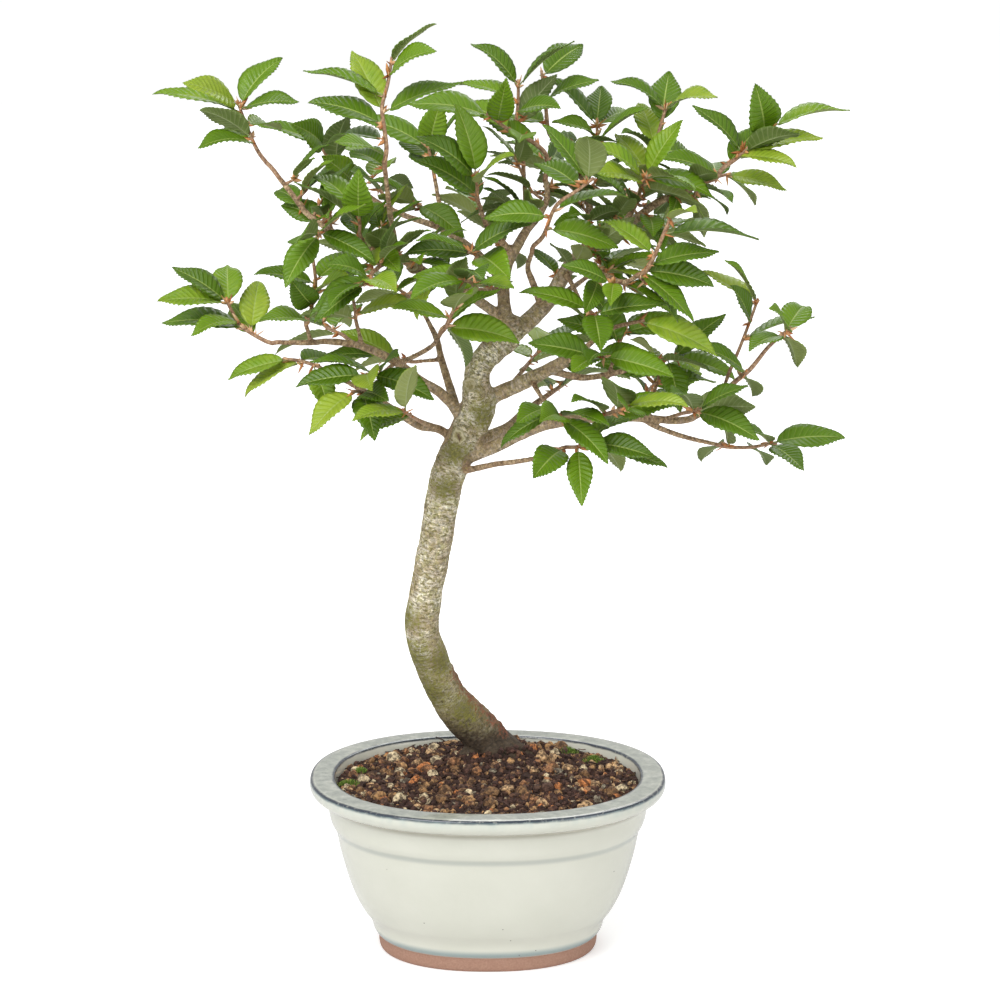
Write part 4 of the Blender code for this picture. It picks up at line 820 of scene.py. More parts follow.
# %% Shoots
SHOOTS = [
    ("c_tip", "limb_c", 8, [(-118, -22, 448), (-123, -20, 455), (-129, -18, 469),
        (-133, -16, 480)],
        [(0.84, 165, 49, 0, 20), (0.98, 152, 40, 40, 50), (1.0, 50, 38, -30, 20),
         (0.9, 5, 36, 25, 30), (0.54, 175, 34, -45, 25), (0.46, 185, 41, 45, 25),
         (0.7, -10, 36, -60, 25)]),
    ("c_mid", "c_spur", 4, [(-67, -38, 416), (-68, -42, 423)],
        [(0.7, 90, 36, 35, 75), (1.0, 145, 40, -25, 20), (0.3, 135, 38, 60, 30)]),
    ("c_low", "c_low_spur", 4, [(-88, -54, 412), (-86, -66, 412)],
        [(0.9, 240, 36, 30, 40), (0.4, -25, 36, 20, 40)]),
    ("c_front", "c_front_spur", 5, [(-60, -72, 389), (-62, -88, 388)],
        [(0.9, 215, 36, 30, 30), (0.5, 150, 36, 45, 35)]),
    ("d_tip", "limb_d", 6, [(-82, 58, 439), (-92, 58, 449), (-96, 58, 458)],
        [(0.9, 165, 39, 0, 30), (1.0, 140, 40, 55, 50), (0.85, -10, 38, -50, 25),
         (0.15, 135, 36, 50, 60), (0.3, 200, 34, -35, 30)]),
    ("d_low", "d_spur", 4, [(-65, 68, 432), (-68, 76, 436)],
        [(0.3, 145, 34, 50, 30)]),
    ("d2_tip", "d2", 6, [(-32, 56, 446), (-34, 58, 455)],
        [(1.0, 75, 36, 35, 85), (0.9, 155, 43, 0, 30), (0.6, 150, 38, -50, 30),
         (0.1, 15, 36, 40, 30), (0.2, 140, 34, -60, 35)]),
    ("d_inner", "d_inner_spur", 4, [(-37, 12, 422), (-40, 2, 425)],
        [(0.5, 150, 36, 20, 25), (0.8, -30, 38, 30, 30)]),
    ("f_tip", "e", 9, [(-51, -68, 456), (-52, -70, 466), (-53, -70, 477), (-50, -68, 489),
        (-48, -64, 502)],
        [(1.0, 40, 34, 20, 15), (0.84, 30, 40, 50, 40), (0.66, 165, 44, 0, 20),
         (0.42, 160, 41, 0, 25), (0.52, 20, 44, 0, 25), (0.3, 185, 41, -40, 20),
         (0.16, 160, 39, 50, 25), (0.05, 165, 37, -60, 25)]),
    ("g_tip", "g", 6, [(-5, -33, 435), (-6, -39, 443)],
        [(1.0, 110, 40, 0, 60), (0.56, 40, 40, 50, 30), (0.1, 135, 38, -55, 30)]),
    ("orange_twig", "leader_left", 6, [(32, 13, 451), (24, 8, 458), (12, -3, 464),
        (0, -12, 473)],
        [(0.86, 75, 36, 45, 85), (1.0, 170, 46, 0, 25), (0.68, 150, 38, -35, 20),
         (0.52, 200, 36, 50, 25), (0.32, 150, 39, -10, 30)]),
    ("top_middle", "top_spur", 6, [(17, 21, 457), (16, 22, 468), (17, 22, 480),
        (17, 20, 491)],
        [(1.0, 135, 36, 0, 45), (0.97, 40, 40, 10, 20), (0.84, 20, 38, -45, 25),
         (0.62, 5, 36, 50, 25), (0.74, 160, 36, -15, 25)]),
    ("b2_tip", "b2", 6, [(34, 42, 463), (33, 42, 472), (32, 40, 482), (30, 38, 496)],
        [(1.0, 140, 36, 25, 25), (0.93, 35, 40, -45, 40), (0.21, 140, 38, 50, 25),
         (0.34, 175, 36, -45, 25), (0.64, 20, 36, 35, 25)]),
    ("b2_side", "b2_spur", 6, [(61, 49, 449), (62, 56, 458), (62, 60, 469)],
        [(1.0, 135, 44, 0, 25), (0.92, 150, 40, 40, 30), (1.0, 80, 38, -55, 30),
         (0.7, 165, 36, 40, 30), (0.88, 20, 36, -50, 25), (0.6, 35, 41, 35, 30)]),
    ("b1_shoot", "b1", 7, [(30, -40, 410), (36, -54, 426), (46, -62, 434), (55, -68, 441)],
        [(1.0, 125, 38, 0, 35), (0.95, 95, 40, 55, 30), (0.86, 150, 38, -45, 30),
         (0.82, 25, 36, 40, 25), (0.45, 180, 36, 0, 40), (0.32, -15, 41, -10, 30)]),
    ("b3_tip", "b3", 7, [(91, 40, 446), (94, 42, 454), (98, 44, 469), (101, 45, 478)],
        [(1.0, 150, 36, 0, 15), (0.97, 15, 40, 50, 25), (0.45, 105, 38, -45, 35),
         (0.36, 150, 36, 50, 30), (0.12, 130, 36, -40, 30)]),
    ("b3_side", "b3_side_spur", 6, [(85, 2, 436), (86, -12, 440)],
        [(1.0, 60, 38, 20, 40), (0.7, 150, 40, 10, 30), (0.8, -15, 40, 0, 35)]),
    ("b_tip", "leader_right", 8, [(129, 12, 443), (137, 10, 449), (147, 10, 458),
        (158, 10, 468)],
        [(1.0, 15, 45, 0, 20), (0.54, 8, 44, 0, 20), (0.4, -10, 38, 35, 15),
         (0.28, 45, 36, -35, 50), (0.5, 135, 38, 0, 30), (0.82, 110, 41, 45, 75),
         (0.66, 160, 39, -50, 25)]),
    ("b_low", "b_spur", 5, [(127, 36, 437), (137, 46, 439)],
        [(0.98, -15, 36, 25, 35), (0.9, -45, 38, -45, 30), (0.6, 165, 38, 20, 30),
         (0.15, 205, 36, -60, 25)]),
    ("r_inner", "r_spur", 5, [(54, -32, 370), (58, -46, 368)],
        [(0.6, 165, 40, 0, 40), (0.9, 10, 40, 10, 40)]),
    ("l_shoot", "b5", 7, [(85, -55, 395), (89, -61, 405), (92, -63, 413), (96, -64, 423)],
        [(1.0, 25, 30, 62, 20), (0.72, -3, 50, 0, 20), (0.4, 145, 38, -25, 25),
         (0.22, 12, 38, 0, 35), (0.08, -10, 40, 0, 50), (0.02, -40, 41, 25, 20)]),
    ("h_tip", "limb_h", 8, [(-134, -8, 358), (-139, -8, 366), (-143, -8, 374)],
        [(0.96, 145, 36, 0, 25), (1.0, 178, 40, 25, 25), (0.5, 178, 47, 0, 20),
         (0.9, 100, 36, -55, 25), (0.62, 195, 36, 50, 25), (0.4, 85, 40, -45, 85)]),
    ("h_up", "h_spur", 8, [(-95, -28, 367), (-93, -33, 375), (-91, -36, 384),
        (-92, -38, 397)],
        [(0.4, 120, 36, 55, 85), (0.25, 30, 41, 0, 25), (0.3, 5, 38, -30, 25),
         (0.55, 25, 36, 45, 25), (0.74, 30, 36, -50, 20), (1.0, 95, 40, -30, 65),
         (0.7, 165, 37, 30, 25), (0.12, 175, 38, 50, 30)]),
    ("h_mid", "h_mid_spur", 5, [(-71, -22, 367), (-72, -25, 375)],
        [(0.9, 140, 36, 30, 25), (0.5, 10, 38, 30, 30)]),
    ("h_low", "h_low_spur", 5, [(-60, -38, 336), (-66, -50, 337)],
        [(0.7, -20, 38, 10, 40), (1.0, 190, 38, 10, 35)]),
    ("j_tip", "limb_j", 6, [(-92, -20, 338), (-102, -20, 341), (-111, -20, 342)],
        [(1.0, 195, 36, 0, 25), (0.9, 215, 40, 20, 30), (0.6, 208, 39, 0, 30),
         (0.72, -15, 36, -60, 25), (0.4, -65, 36, 45, 30)]),
    ("j_mid", "j_spur", 4, [(-66, -38, 326), (-71, -54, 329)],
        [(1.0, 225, 36, 25, 40), (0.8, 105, 38, -50, 30), (0.55, -70, 38, 55, 35)]),
    ("j_front", "j_front_spur", 4, [(-40, -44, 314), (-44, -58, 319)],
        [(0.6, 150, 34, 50, 50), (0.9, 75, 36, 30, 30)]),
    ("k_tip", "limb_k", 7, [(-19, -62, 369), (-15, -67, 377)],
        [(1.0, 38, 40, 0, 30), (0.5, 165, 40, 45, 25), (0.15, -8, 42, 10, 45),
         (0.9, 80, 36, 40, 20), (0.25, -70, 38, -40, 30)]),
    ("i_tip", "limb_i", 5, [(-46, 72, 367), (-56, 92, 372)], []),
    ("i_low", "i_low_spur", 5, [(-50, 40, 334), (-62, 46, 335)],
        [(0.5, 150, 38, 0, 40), (0.9, 185, 38, 0, 30)]),
    ("l1_tip", "l1", 5, [(73, -42, 363), (83, -50, 366)],
        [(1.0, 140, 36, 0, 60), (0.75, 165, 42, 0, 30), (0.95, -20, 46, 0, 35)]),
    ("l1_low", "l1_spur", 5, [(58, -46, 346), (62, -58, 348)],
        [(0.6, 170, 40, 10, 40), (0.9, -15, 40, 10, 45)]),
    ("l2_tip", "l2", 6, [(98, 13, 338), (108, 16, 338)],
        [(0.6, -80, 36, 40, 30), (1.0, -25, 42, -25, 30), (0.2, -95, 38, 25, 35),
         (0.8, 40, 40, -20, 35)]),
    ("l2_up", "l2_spur", 5, [(74, 16, 347), (78, 28, 354)],
        [(0.6, 165, 38, 0, 40), (0.8, 10, 38, 0, 40)]),
    ("l_under", "l_under_spur", 5, [(37, -46, 316), (39, -60, 315)],
        [(0.5, 215, 36, 0, 30), (0.9, -40, 38, 30, 30)]),
    ("m_tip", "limb_m", 7, [(137, -14, 330), (144, -14, 336), (153, -12, 347),
        (160, -10, 353), (166, -8, 358)],
        [(0.97, 125, 36, 55, 35), (1.0, 40, 38, -58, 30), (0.85, 195, 38, 50, 25),
         (0.9, -60, 36, -50, 25), (0.57, 135, 36, 55, 30), (0.24, -60, 40, -60, 30),
         (0.3, 150, 39, 35, 30)]),
    ("m_up", "m_spur", 4, [(140, 12, 343), (147, 22, 358), (152, 28, 370)],
        [(1.0, 125, 36, 30, 25), (0.94, 155, 40, -20, 15), (0.72, 120, 38, 50, 50)]),
    ("m_mid", "m_mid_spur", 4, [(110, -34, 315), (114, -44, 318)],
        [(0.7, -20, 40, 20, 30), (1.0, 30, 36, 30, 30)]),
    ("m_inner", "m_up_spur", 5, [(96, 14, 328), (100, 24, 337)],
        [(0.6, 170, 38, 0, 40), (0.8, -10, 38, 0, 40)]),
    ("n_tip", "limb_n", 7, [(48, -47, 298), (59, -55, 302)],
        [(0.5, -85, 36, 42, 60), (1.0, -50, 40, -45, 20), (0.85, -5, 38, 30, 25),
         (1.0, -22, 42, 0, 25), (0.06, 185, 36, -40, 25), (0.12, -150, 38, 60, 25)]),
    ("o_tip", "limb_o", 7, [(140, 18, 287), (150, 20, 287), (164, 24, 289)],
        [(1.0, 3, 44, 0, 25), (0.9, 150, 38, 50, 25), (0.5, -45, 38, -50, 30),
         (0.95, -35, 36, 62, 20), (0.1, -125, 36, -55, 30), (0.15, 120, 38, 50, 30)]),
    ("p_tip", "limb_p", 6, [(45, 80, 315), (54, 98, 319)], []),
    ("back_high_tip", "back_high", 5, [(-4, 78, 412), (-8, 98, 416)], []),
    ("back_right_tip", "back_right", 5, [(66, 82, 384), (74, 102, 386)], []),
    ("back_low_tip", "back_low", 5, [(28, 80, 332), (33, 100, 336)], []),
    ("back_left_tip", "back_left", 5, [(-58, 60, 392), (-70, 80, 394)], []),
    ("back_outer_tip", "back_outer", 5, [(98, 78, 404), (106, 94, 406)], []),
    ("back_top_tip", "back_top", 6, [(36, 84, 442), (30, 98, 446)], []),
    ("back_m_tip", "back_m", 5, [(94, 58, 315), (100, 74, 318)], []),
    ("back_h_tip", "back_h", 5, [(-92, 46, 352), (-98, 60, 355)], []),
    ("front_high_tip", "front_high", 5, [(-8, -62, 387), (-12, -84, 390)], []),
    ("a_front", "a_front_spur", 4, [(-4, -24, 398), (-10, -38, 401)],
        [(0.6, 175, 40, 0, 40), (0.9, 30, 38, 10, 40)]),
    ("front_right_tip", "front_right", 5, [(68, -64, 320), (74, -80, 324)], []),
]

print("shoots:", len(SHOOTS))

# %% [markdown]
# ## Lines
# A living axis has no corners, so each list of points becomes a smooth curve that
# runs through all of them, cut into even steps. A branch thins evenly along it.

# %% Smooth lines
BRANCH_SPACING = 18.0
TRUNK_SPACING = 14.0
SHOOT_SPACING = 15.0
SHOOT_GAP = 0.6
STRAIGHT_START = 6.0
TWIG_END_RADIUS = 0.85
CURVE_STEPS = 8


def smooth_line(points, spacing):
    """Points about one spacing apart on a smooth curve through the given points."""
    rows = np.array(points, float)
    padded = np.vstack((2 * rows[0] - rows[1], rows, 2 * rows[-1] - rows[-2]))
    fine = []
    for a, b, c, d in zip(padded, padded[1:], padded[2:], padded[3:]):
        for step in range(CURVE_STEPS):
            t = step / CURVE_STEPS
            fine.append(0.5 * (2 * b + (c - a) * t + (2 * a - 5 * b + 4 * c - d) * t * t
                               + (3 * b - a - 3 * c + d) * t ** 3))
    fine = np.array(fine + [rows[-1]])
    steps = np.linalg.norm(np.diff(fine[:, :3], axis=0), axis=1)
    reach = np.concatenate(([0.0], np.cumsum(steps)))
    count = max(2, round(reach[-1] / spacing))
    goals = reach[-1] * np.arange(count + 1) / count
    return np.array([np.interp(goals, reach, column) for column in fine.T]).T


def tapered(points, start, end, spacing):
    """A smooth line whose fourth value is a radius that falls evenly."""
    line = smooth_line(points, spacing)
    return np.column_stack((line, np.linspace(start, end, len(line))))


def shoot_line(branch, points, spacing=SHOOT_SPACING):
    """The axis of a shoot, from just past the end of its branch."""
    end = Vector(branch[-1][:3])
    ahead = (end - Vector(branch[-2][:3])).normalized()
    start = [tuple(end + ahead * SHOOT_GAP), tuple(end + ahead * STRAIGHT_START)]
    return tapered(start + points, branch[-1][3], TWIG_END_RADIUS, spacing)


branches = {name: tapered(points, start, end, BRANCH_SPACING)
            for name, sides, start, end, points in BRANCHES}
shoots = {name: shoot_line(branches[branch], points)
          for name, branch, count, points, fixed in SHOOTS}
trunk_line = np.vstack((TRUNK_FOOT + (TRUNK_FOOT_BOTTOM, TRUNK[0][3]),
                        smooth_line(TRUNK, TRUNK_SPACING)))
print("points on the trunk:", len(trunk_line), "wood lines:", len(branches), "shoots:", len(shoots))

# %% [markdown]
# ## Round rods along a line
# A ring of points is extruded from station to station. At each station the whole
# ring is moved by one matrix, which turns it as little as possible, so the rod
# never twists. Both ends are closed.

# %% Sweep a rod
def stations(line):
    """A placing matrix for each point of a line, turned as little as possible."""
    points = [Vector(row[:3]) for row in line]
    turn = (points[1] - points[0]).to_track_quat("Z", "Y")
    result = []
    for number, (point, row) in enumerate(zip(points, line)):
        ahead = points[min(number + 1, len(points) - 1)] - points[max(number - 1, 0)]
        facing = turn @ Vector((0, 0, 1))
        turn = facing.rotation_difference(ahead) @ turn
        result.append(Matrix.Translation(point) @ turn.to_matrix().to_4x4()
                      @ Matrix.Diagonal((row[3], row[3], row[3], 1.0)))
    return result


def rod(bm, line, sides):
    """Extrude a ring along a line of positions and radii, and close both ends."""
    places = stations(line)
    ring = bmesh.ops.create_circle(bm, cap_ends=True, segments=sides, radius=1.0,
                                   matrix=places[0])["verts"]
    edges = list({edge for vert in ring for edge in vert.link_edges})
    for before, after in zip(places, places[1:]):
        new = bmesh.ops.extrude_edge_only(bm, edges=edges)["geom"]
        edges = [item for item in new if isinstance(item, bmesh.types.BMEdge)]
        ring = [item for item in new if isinstance(item, bmesh.types.BMVert)]
        bmesh.ops.transform(bm, matrix=after @ before.inverted(), verts=ring)
    bmesh.ops.contextual_create(bm, geom=edges)


print("rings for the trunk:", len(stations(trunk_line)))

# %% [markdown]
# ## Wood
# All rods of trunk, limbs, branches, roots and knots are poured together: a fine
# volume grid melts them to one skin, which gives the joints their webs, and a light
# smoothing takes the grid's steps away. Real wood grows over its joints the same way.

# %% One skin of wood
WOOD_GRID = 1.0
WOOD_STEP = 3.0
TRUNK_IN_SOIL = [(15, 47, 88, 14.0), (0, 41.5, 108, 12.4)]

wood_lines = [smooth_line(TRUNK_IN_SOIL + TRUNK[1:], WOOD_STEP)]
for name, sides, start, end, points in BRANCHES:
    wood_lines.append(tapered(points, start * 1.04, end * 1.08, WOOD_STEP))
for start, end, points in ROOTS:
    wood_lines.append(tapered(points, start, end, WOOD_STEP))

bm = bmesh.new()
for number, line in enumerate(wood_lines):
    rod(bm, line, 20 if number == 0 else 12)
for centre, radii in KNOTS:
    bmesh.ops.create_icosphere(bm, subdivisions=3, radius=1.0,
                               matrix=Matrix.Translation(centre) @ Matrix.Diagonal((*radii, 1.0)))
holder = bpy.data.objects.new("wood", mesh_from(bm, "wood"))
bpy.context.scene.collection.objects.link(holder)
melt = holder.modifiers.new("melt", "REMESH")
melt.mode = "VOXEL"
melt.voxel_size = WOOD_GRID
soften = holder.modifiers.new("soften", "SMOOTH")
soften.factor = 0.5
soften.iterations = 2
graph = bpy.context.evaluated_depsgraph_get()
wood_mesh = bpy.data.meshes.new_from_object(holder.evaluated_get(graph))
bpy.data.objects.remove(holder)
print("triangles of wood:", triangles(wood_mesh))

# %% [markdown]
# Every point of the bark learns its place on the tree: how far along its limb it
# lies, how it stands round the limb's axis, and how thick the limb is there. Bark
# patterns follow these and not the space around, so rings run across every limb,
# whichever way it points.

# %% Where each point of bark lies
samples = []
for line in wood_lines:
    fine = smooth_line(line, 1.2)
    in_trunk = np.zeros(len(fine), bool)
    if samples:
        gaps = np.linalg.norm(fine[:, None, :3] - trunk_rows[None, :, :3], axis=2) - trunk_rows[:, 3]
        in_trunk = gaps.min(axis=1) < 0.0
    steps = np.linalg.norm(np.diff(fine[:, :3], axis=0), axis=1)
    along = np.concatenate(([0.0], np.cumsum(steps))) + 97.0 * len(samples)
    ahead = np.gradient(fine[:, :3], axis=0)
    ahead /= np.linalg.norm(ahead, axis=1)[:, None]
    samples += [(*row, reach, *facing) for row, reach, facing, hidden
                in zip(fine, along, ahead, in_trunk) if not hidden]
    if line is wood_lines[0]:
        trunk_rows = fine
samples = np.array(samples)
nearest = KDTree(len(samples))
for number, row in enumerate(samples):
    nearest.insert(row[:3], number)
nearest.balance()

count = len(wood_mesh.vertices)
points = np.empty(count * 3, np.float32)
wood_mesh.vertices.foreach_get("co", points)
points = points.reshape(-1, 3)
owner = np.empty(count, int)
for number, point in enumerate(points):
    found = nearest.find_n(point, 8)
    owner[number] = min(found, key=lambda item: item[2] - samples[item[1], 3])[1]
own = samples[owner]
away = points - own[:, :3]
away_along = np.einsum("ij,ij->i", away, own[:, 5:8])
round_place = away - away_along[:, None] * own[:, 5:8]
along_place = own[:, 4] + away_along
girth = own[:, 3]
print("thinnest and thickest wood:", round(girth.min(), 2), round(girth.max(), 2), "mm")

# %% [markdown]
# Scars from pruning are shallow dishes with a raised, rolled lip of healed bark, and
# each is first moved to the nearest point of the skin. The hollow on the trunk's front
# is one, and a cut stub on the right limb another. Algae grows where water runs down:
# on the left and the right of the lower trunk. Low on the right the bark has split,
# and its reddish inner side shows.

# %% Scars and algae
SCARS = [
    ((-15.5, -6.0, 297.5), 5.2, 1.1), ((-10.0, -7.0, 326.0), 4.6, 1.5),
    ((43.5, -12.0, 340.0), 3.0, 0.8), ((-40.0, -25.0, 392.0), 3.0, 0.7),
]
ALGAE = [
    ((-44.0, 14.0, 164.0), 20.0), ((-24.0, 14.0, 163.0), 17.0), ((-36.0, 20.0, 142.0), 20.0),
    ((-45.0, 14.0, 190.0), 13.0), ((-24.0, -4.0, 268.0), 11.0), ((-2.0, -6.0, 309.0), 12.0),
    ((-18.0, -5.0, 288.0), 12.0), ((-12.0, 22.0, 132.0), 16.0),
]
SPLIT_BARK = [((-20.0 + 5.6 * step, 28.0 + 2.2 * step, 153.0 - 7.2 * step), 9.0)
              for step in range(6)]


def nearness(centre, radius):
    """How near each point is to a centre: 1 there, 0 from the radius on."""
    gap = np.linalg.norm(points - np.array(centre), axis=1) / radius
    return np.clip(1.0 - gap, 0.0, 1.0)


normals = np.empty(count * 3, np.float32)
wood_mesh.vertices.foreach_get("normal", normals)
normals = normals.reshape(-1, 3)
rise = np.zeros(count)
wobble = np.array([noise.noise(Vector(point) * 0.32) for point in points])
skin = BVHTree.FromPolygons(points.tolist(), [tuple(face.vertices) for face in wood_mesh.polygons])
SCARS = [(tuple(skin.find_nearest(centre)[0]), radius, depth) for centre, radius, depth in SCARS]
for centre, radius, depth in SCARS:
    near = nearness(centre, radius * 1.5)
    near = np.clip(near + 0.3 * wobble * (near > 0.0), 0.0, 1.0)
    dish = np.clip(near * 3.0 - 1.4, 0.0, 1.0)
    lip = np.exp(-((near - 0.36) / 0.15) ** 2) * (near > 0.02)
    rise += 0.8 * lip * depth - depth * dish
algae = np.zeros(count)
for centre, radius in ALGAE:
    algae = np.maximum(algae, nearness(centre, radius))
split = np.zeros(count)
for centre, radius in SPLIT_BARK:
    split = np.maximum(split, nearness(centre, radius))
rise += 1.6 * split * wobble
for number in range(count):
    radius = girth[number]
    spot = Vector(points[number])
    lumps = noise.noise(spot * 0.075) * min(1.1, 0.085 * radius)
    lumps += noise.noise(spot * 0.19) * min(0.8, 0.07 * radius) * (spot.z > 275.0)
    ring = noise.noise(Vector((along_place[number] * 0.55, *(round_place[number][:2] * 0.12))))
    rise[number] += lumps + ring * min(0.28, 0.035 * radius)
points += normals * rise[:, None]
wood_mesh.vertices.foreach_set("co", points.astype(np.float32).ravel())
for name, values in (("along", along_place), ("girth", girth), ("split", split), ("algae", algae)):
    layer = wood_mesh.attributes.new(name, "FLOAT", "POINT")
    layer.data.foreach_set("value", values.astype(np.float32))
layer = wood_mesh.attributes.new("round", "FLOAT_VECTOR", "POINT")
layer.data.foreach_set("vector", round_place.astype(np.float32).ravel())
wood_mesh.update()
print("bark rises by", round(rise.min(), 2), "to", round(rise.max(), 2), "mm")

# %% [markdown]
# Hornbeam bark is smooth, beige-grey and finely ringed across. Olive flecks of
# algae and lichen dust the trunk, the foot is stained dark by wet soil, and young
# wood is tan. The colour is built in that order, from the ground tone up. Rings and
# flecks follow the limb, and stand one to a few millimetres apart.

# %% Bark
bark, tree, shader = start_material("hornbeam bark, dry", Roughness=0.78)
millimetres = millimetre_place(tree)
height = add(tree, "ShaderNodeSeparateXYZ", {"Vector": millimetres}).outputs["Z"]
along = add(tree, "ShaderNodeAttribute", attribute_name="along").outputs["Fac"]
around = add(tree, "ShaderNodeAttribute", attribute_name="round").outputs["Vector"]
girth_now = add(tree, "ShaderNodeAttribute", attribute_name="girth").outputs["Fac"]
split_now = add(tree, "ShaderNodeAttribute", attribute_name="split").outputs["Fac"]
algae_now = add(tree, "ShaderNodeAttribute", attribute_name="algae").outputs["Fac"]
ring_step = maths(tree, "MULTIPLY", along, 0.85)
squeezed = add(tree, "ShaderNodeVectorMath", {0: around, 1: (0.11, 0.11, 0.11)},
               operation="MULTIPLY").outputs["Vector"]
rings = add(tree, "ShaderNodeTexNoise", {"Vector": squeezed, "W": ring_step, "Scale": 1.0,
                                         "Detail": 5.0, "Roughness": 0.7}, noise_dimensions="4D")
patches = add(tree, "ShaderNodeTexNoise", {"Vector": millimetres, "Scale": 0.09, "Detail": 4.0})
dash_step = maths(tree, "MULTIPLY", along, 0.8)
stretched = add(tree, "ShaderNodeVectorMath", {0: around, 1: (0.42, 0.42, 0.42)},
                operation="MULTIPLY").outputs["Vector"]
flecks = add(tree, "ShaderNodeTexNoise", {"Vector": stretched, "W": dash_step, "Scale": 1.0,
                                          "Detail": 6.0, "Roughness": 0.68},
             noise_dimensions="4D")
grains_now = add(tree, "ShaderNodeTexNoise", {"Vector": millimetres, "Scale": 0.5, "Detail": 6.0,
                                              "Roughness": 0.75}).outputs["Fac"]
crust = add(tree, "ShaderNodeTexNoise", {"Vector": millimetres, "Scale": 0.3, "Detail": 6.0,
                                         "Roughness": 0.7}).outputs["Fac"]
colour = add(tree, "ShaderNodeValToRGB", {"Fac": rings.outputs["Fac"]},
             [(0.36, "#a2977a"), (0.48, "#d6ccb0"), (0.58, "#f6efdd")]).outputs["Color"]
crusty = add(tree, "ShaderNodeValToRGB", {"Fac": crust}, [(0.5, 0.0), (0.55, 0.8)]).outputs["Color"]
colour = mix(tree, crusty, colour, linear("#b3ad78"))
warm = add(tree, "ShaderNodeValToRGB", {"Fac": patches.outputs["Fac"]},
           [(0.42, 0.0), (0.62, 0.6)]).outputs["Color"]
colour = mix(tree, warm, colour, linear("#9b8262"))
dust = add(tree, "ShaderNodeValToRGB", {"Fac": flecks.outputs["Fac"]},
           [(0.52, 0.0), (0.57, 0.85)]).outputs["Color"]
colour = mix(tree, dust, colour, linear("#81783f"))
young = remap(tree, girth_now, (1.4, 6.8), (0.9, 0.0))
tan = add(tree, "ShaderNodeValToRGB", {"Fac": flecks.outputs["Fac"]},
          [(0.38, "#5f432e"), (0.5, "#a17e5c"), (0.6, "#dcc19d")]).outputs["Color"]
colour = mix(tree, young, colour, tan)
print("bark nodes for the ground tone:", len(tree.nodes))

# %% [markdown]
# Stains lie over that ground: an olive tone up to 184 mm, dark damp up to 133 mm,
# then the algae and the split bark, broken up by a fine noise so that they crumble at
# their edges. Last, the same noise makes all the bark lighter and darker by grains.

# %% Bark, stained
STAINS = [(122.0, 184.0, 0.6, "#958c57"), (106.0, 133.0, 0.92, "#382820")]
ALGAE_TONE = "#6f6d2b"
SPLIT_TONE = "#764530"

for low, high, share, tone in STAINS:
    wet = remap(tree, height, (low, high), (1.0, 0.0))
    wet = maths(tree, "MULTIPLY_ADD", flecks.outputs["Fac"], 0.9, wet)
    wet = remap(tree, wet, (0.42, 1.2), (0.0, share))
    colour = mix(tree, wet, colour, linear(tone))
for cover, first, tone in ((algae_now, 2.3, ALGAE_TONE), (split_now, 2.25, SPLIT_TONE)):
    patchy = maths(tree, "MULTIPLY_ADD", grains_now, 4.0, cover)
    patchy = remap(tree, patchy, (first, 2.65), (0.0, 0.85))
    covered = maths(tree, "GREATER_THAN", cover, 0.02)
    patchy = maths(tree, "MULTIPLY", patchy, covered)
    colour = mix(tree, patchy, colour, linear(tone))
crumbly = remap(tree, grains_now, (0.36, 0.64), (0.5, 1.6))
colour = add(tree, "ShaderNodeVectorMath", {0: colour, "Scale": crumbly},
             operation="SCALE").outputs["Vector"]
print("bark nodes with its stains:", len(tree.nodes))

# %% [markdown]
# A scar's colours lie in rings about its middle: a dark hollow, brown dead wood, the
# pale rolled lip, and an olive line where the lip meets sound bark. The distance from
# the middle is made uneven by a noise, so no ring is round.

# %% Bark, its scars and relief
sway = add(tree, "ShaderNodeTexNoise", {"Vector": millimetres, "Scale": 0.35, "Detail": 3.0})
sway = add(tree, "ShaderNodeVectorMath", {0: sway.outputs["Color"], "Scale": 5.0},
           operation="SCALE").outputs["Vector"]
swayed = add(tree, "ShaderNodeVectorMath", {0: millimetres, 1: sway},
             operation="ADD").outputs["Vector"]
for centre, radius, depth in SCARS:
    middle = tuple(value + 2.5 for value in centre)
    gap = add(tree, "ShaderNodeVectorMath", {0: swayed, 1: middle},
              operation="DISTANCE").outputs["Value"]
    share = maths(tree, "DIVIDE", gap, radius)
    healed = add(tree, "ShaderNodeValToRGB", {"Fac": share},
                 [(0.12, "#3a291c"), (0.34, "#6d5237"), (0.52, "#a49a68"), (0.72, "#d6cdab"),
                  (0.95, "#857c4a")]).outputs["Color"]
    marked = remap(tree, share, (0.85, 1.15), (0.9, 0.0))
    colour = mix(tree, marked, colour, healed)
relief = maths(tree, "MULTIPLY_ADD", flecks.outputs["Fac"], 0.6, rings.outputs["Fac"])
relief = maths(tree, "MULTIPLY_ADD", crust, 0.8, relief)
bump = add(tree, "ShaderNodeBump", {"Height": relief, "Strength": 0.8, "Distance": 0.0012})
tree.links.new(colour, shader.inputs["Base Color"])
tree.links.new(bump.outputs["Normal"], shader.inputs["Normal"])
wood = finish_piece("trunk_and_limbs", wood_mesh, [bark], ["trunk"])
print("wood:", [round(v * 1000, 1) for v in wood.dimensions], "mm")

# %% [markdown]
# Watering has banked dark crumbs against the trunk's foot and over its roots. Each
# falls from above until it meets wood or the bed, and a wood surface that leans
# overhead catches none. Thin dead rootlets and needles lie loose among the grains.

# %% Soil banked on the foot, and rootlets
BANK = 560
BANK_REACH = 27.0
BANK_TOP = 106.5
DROP_HEIGHT = 117.0
ROOTLETS = 170

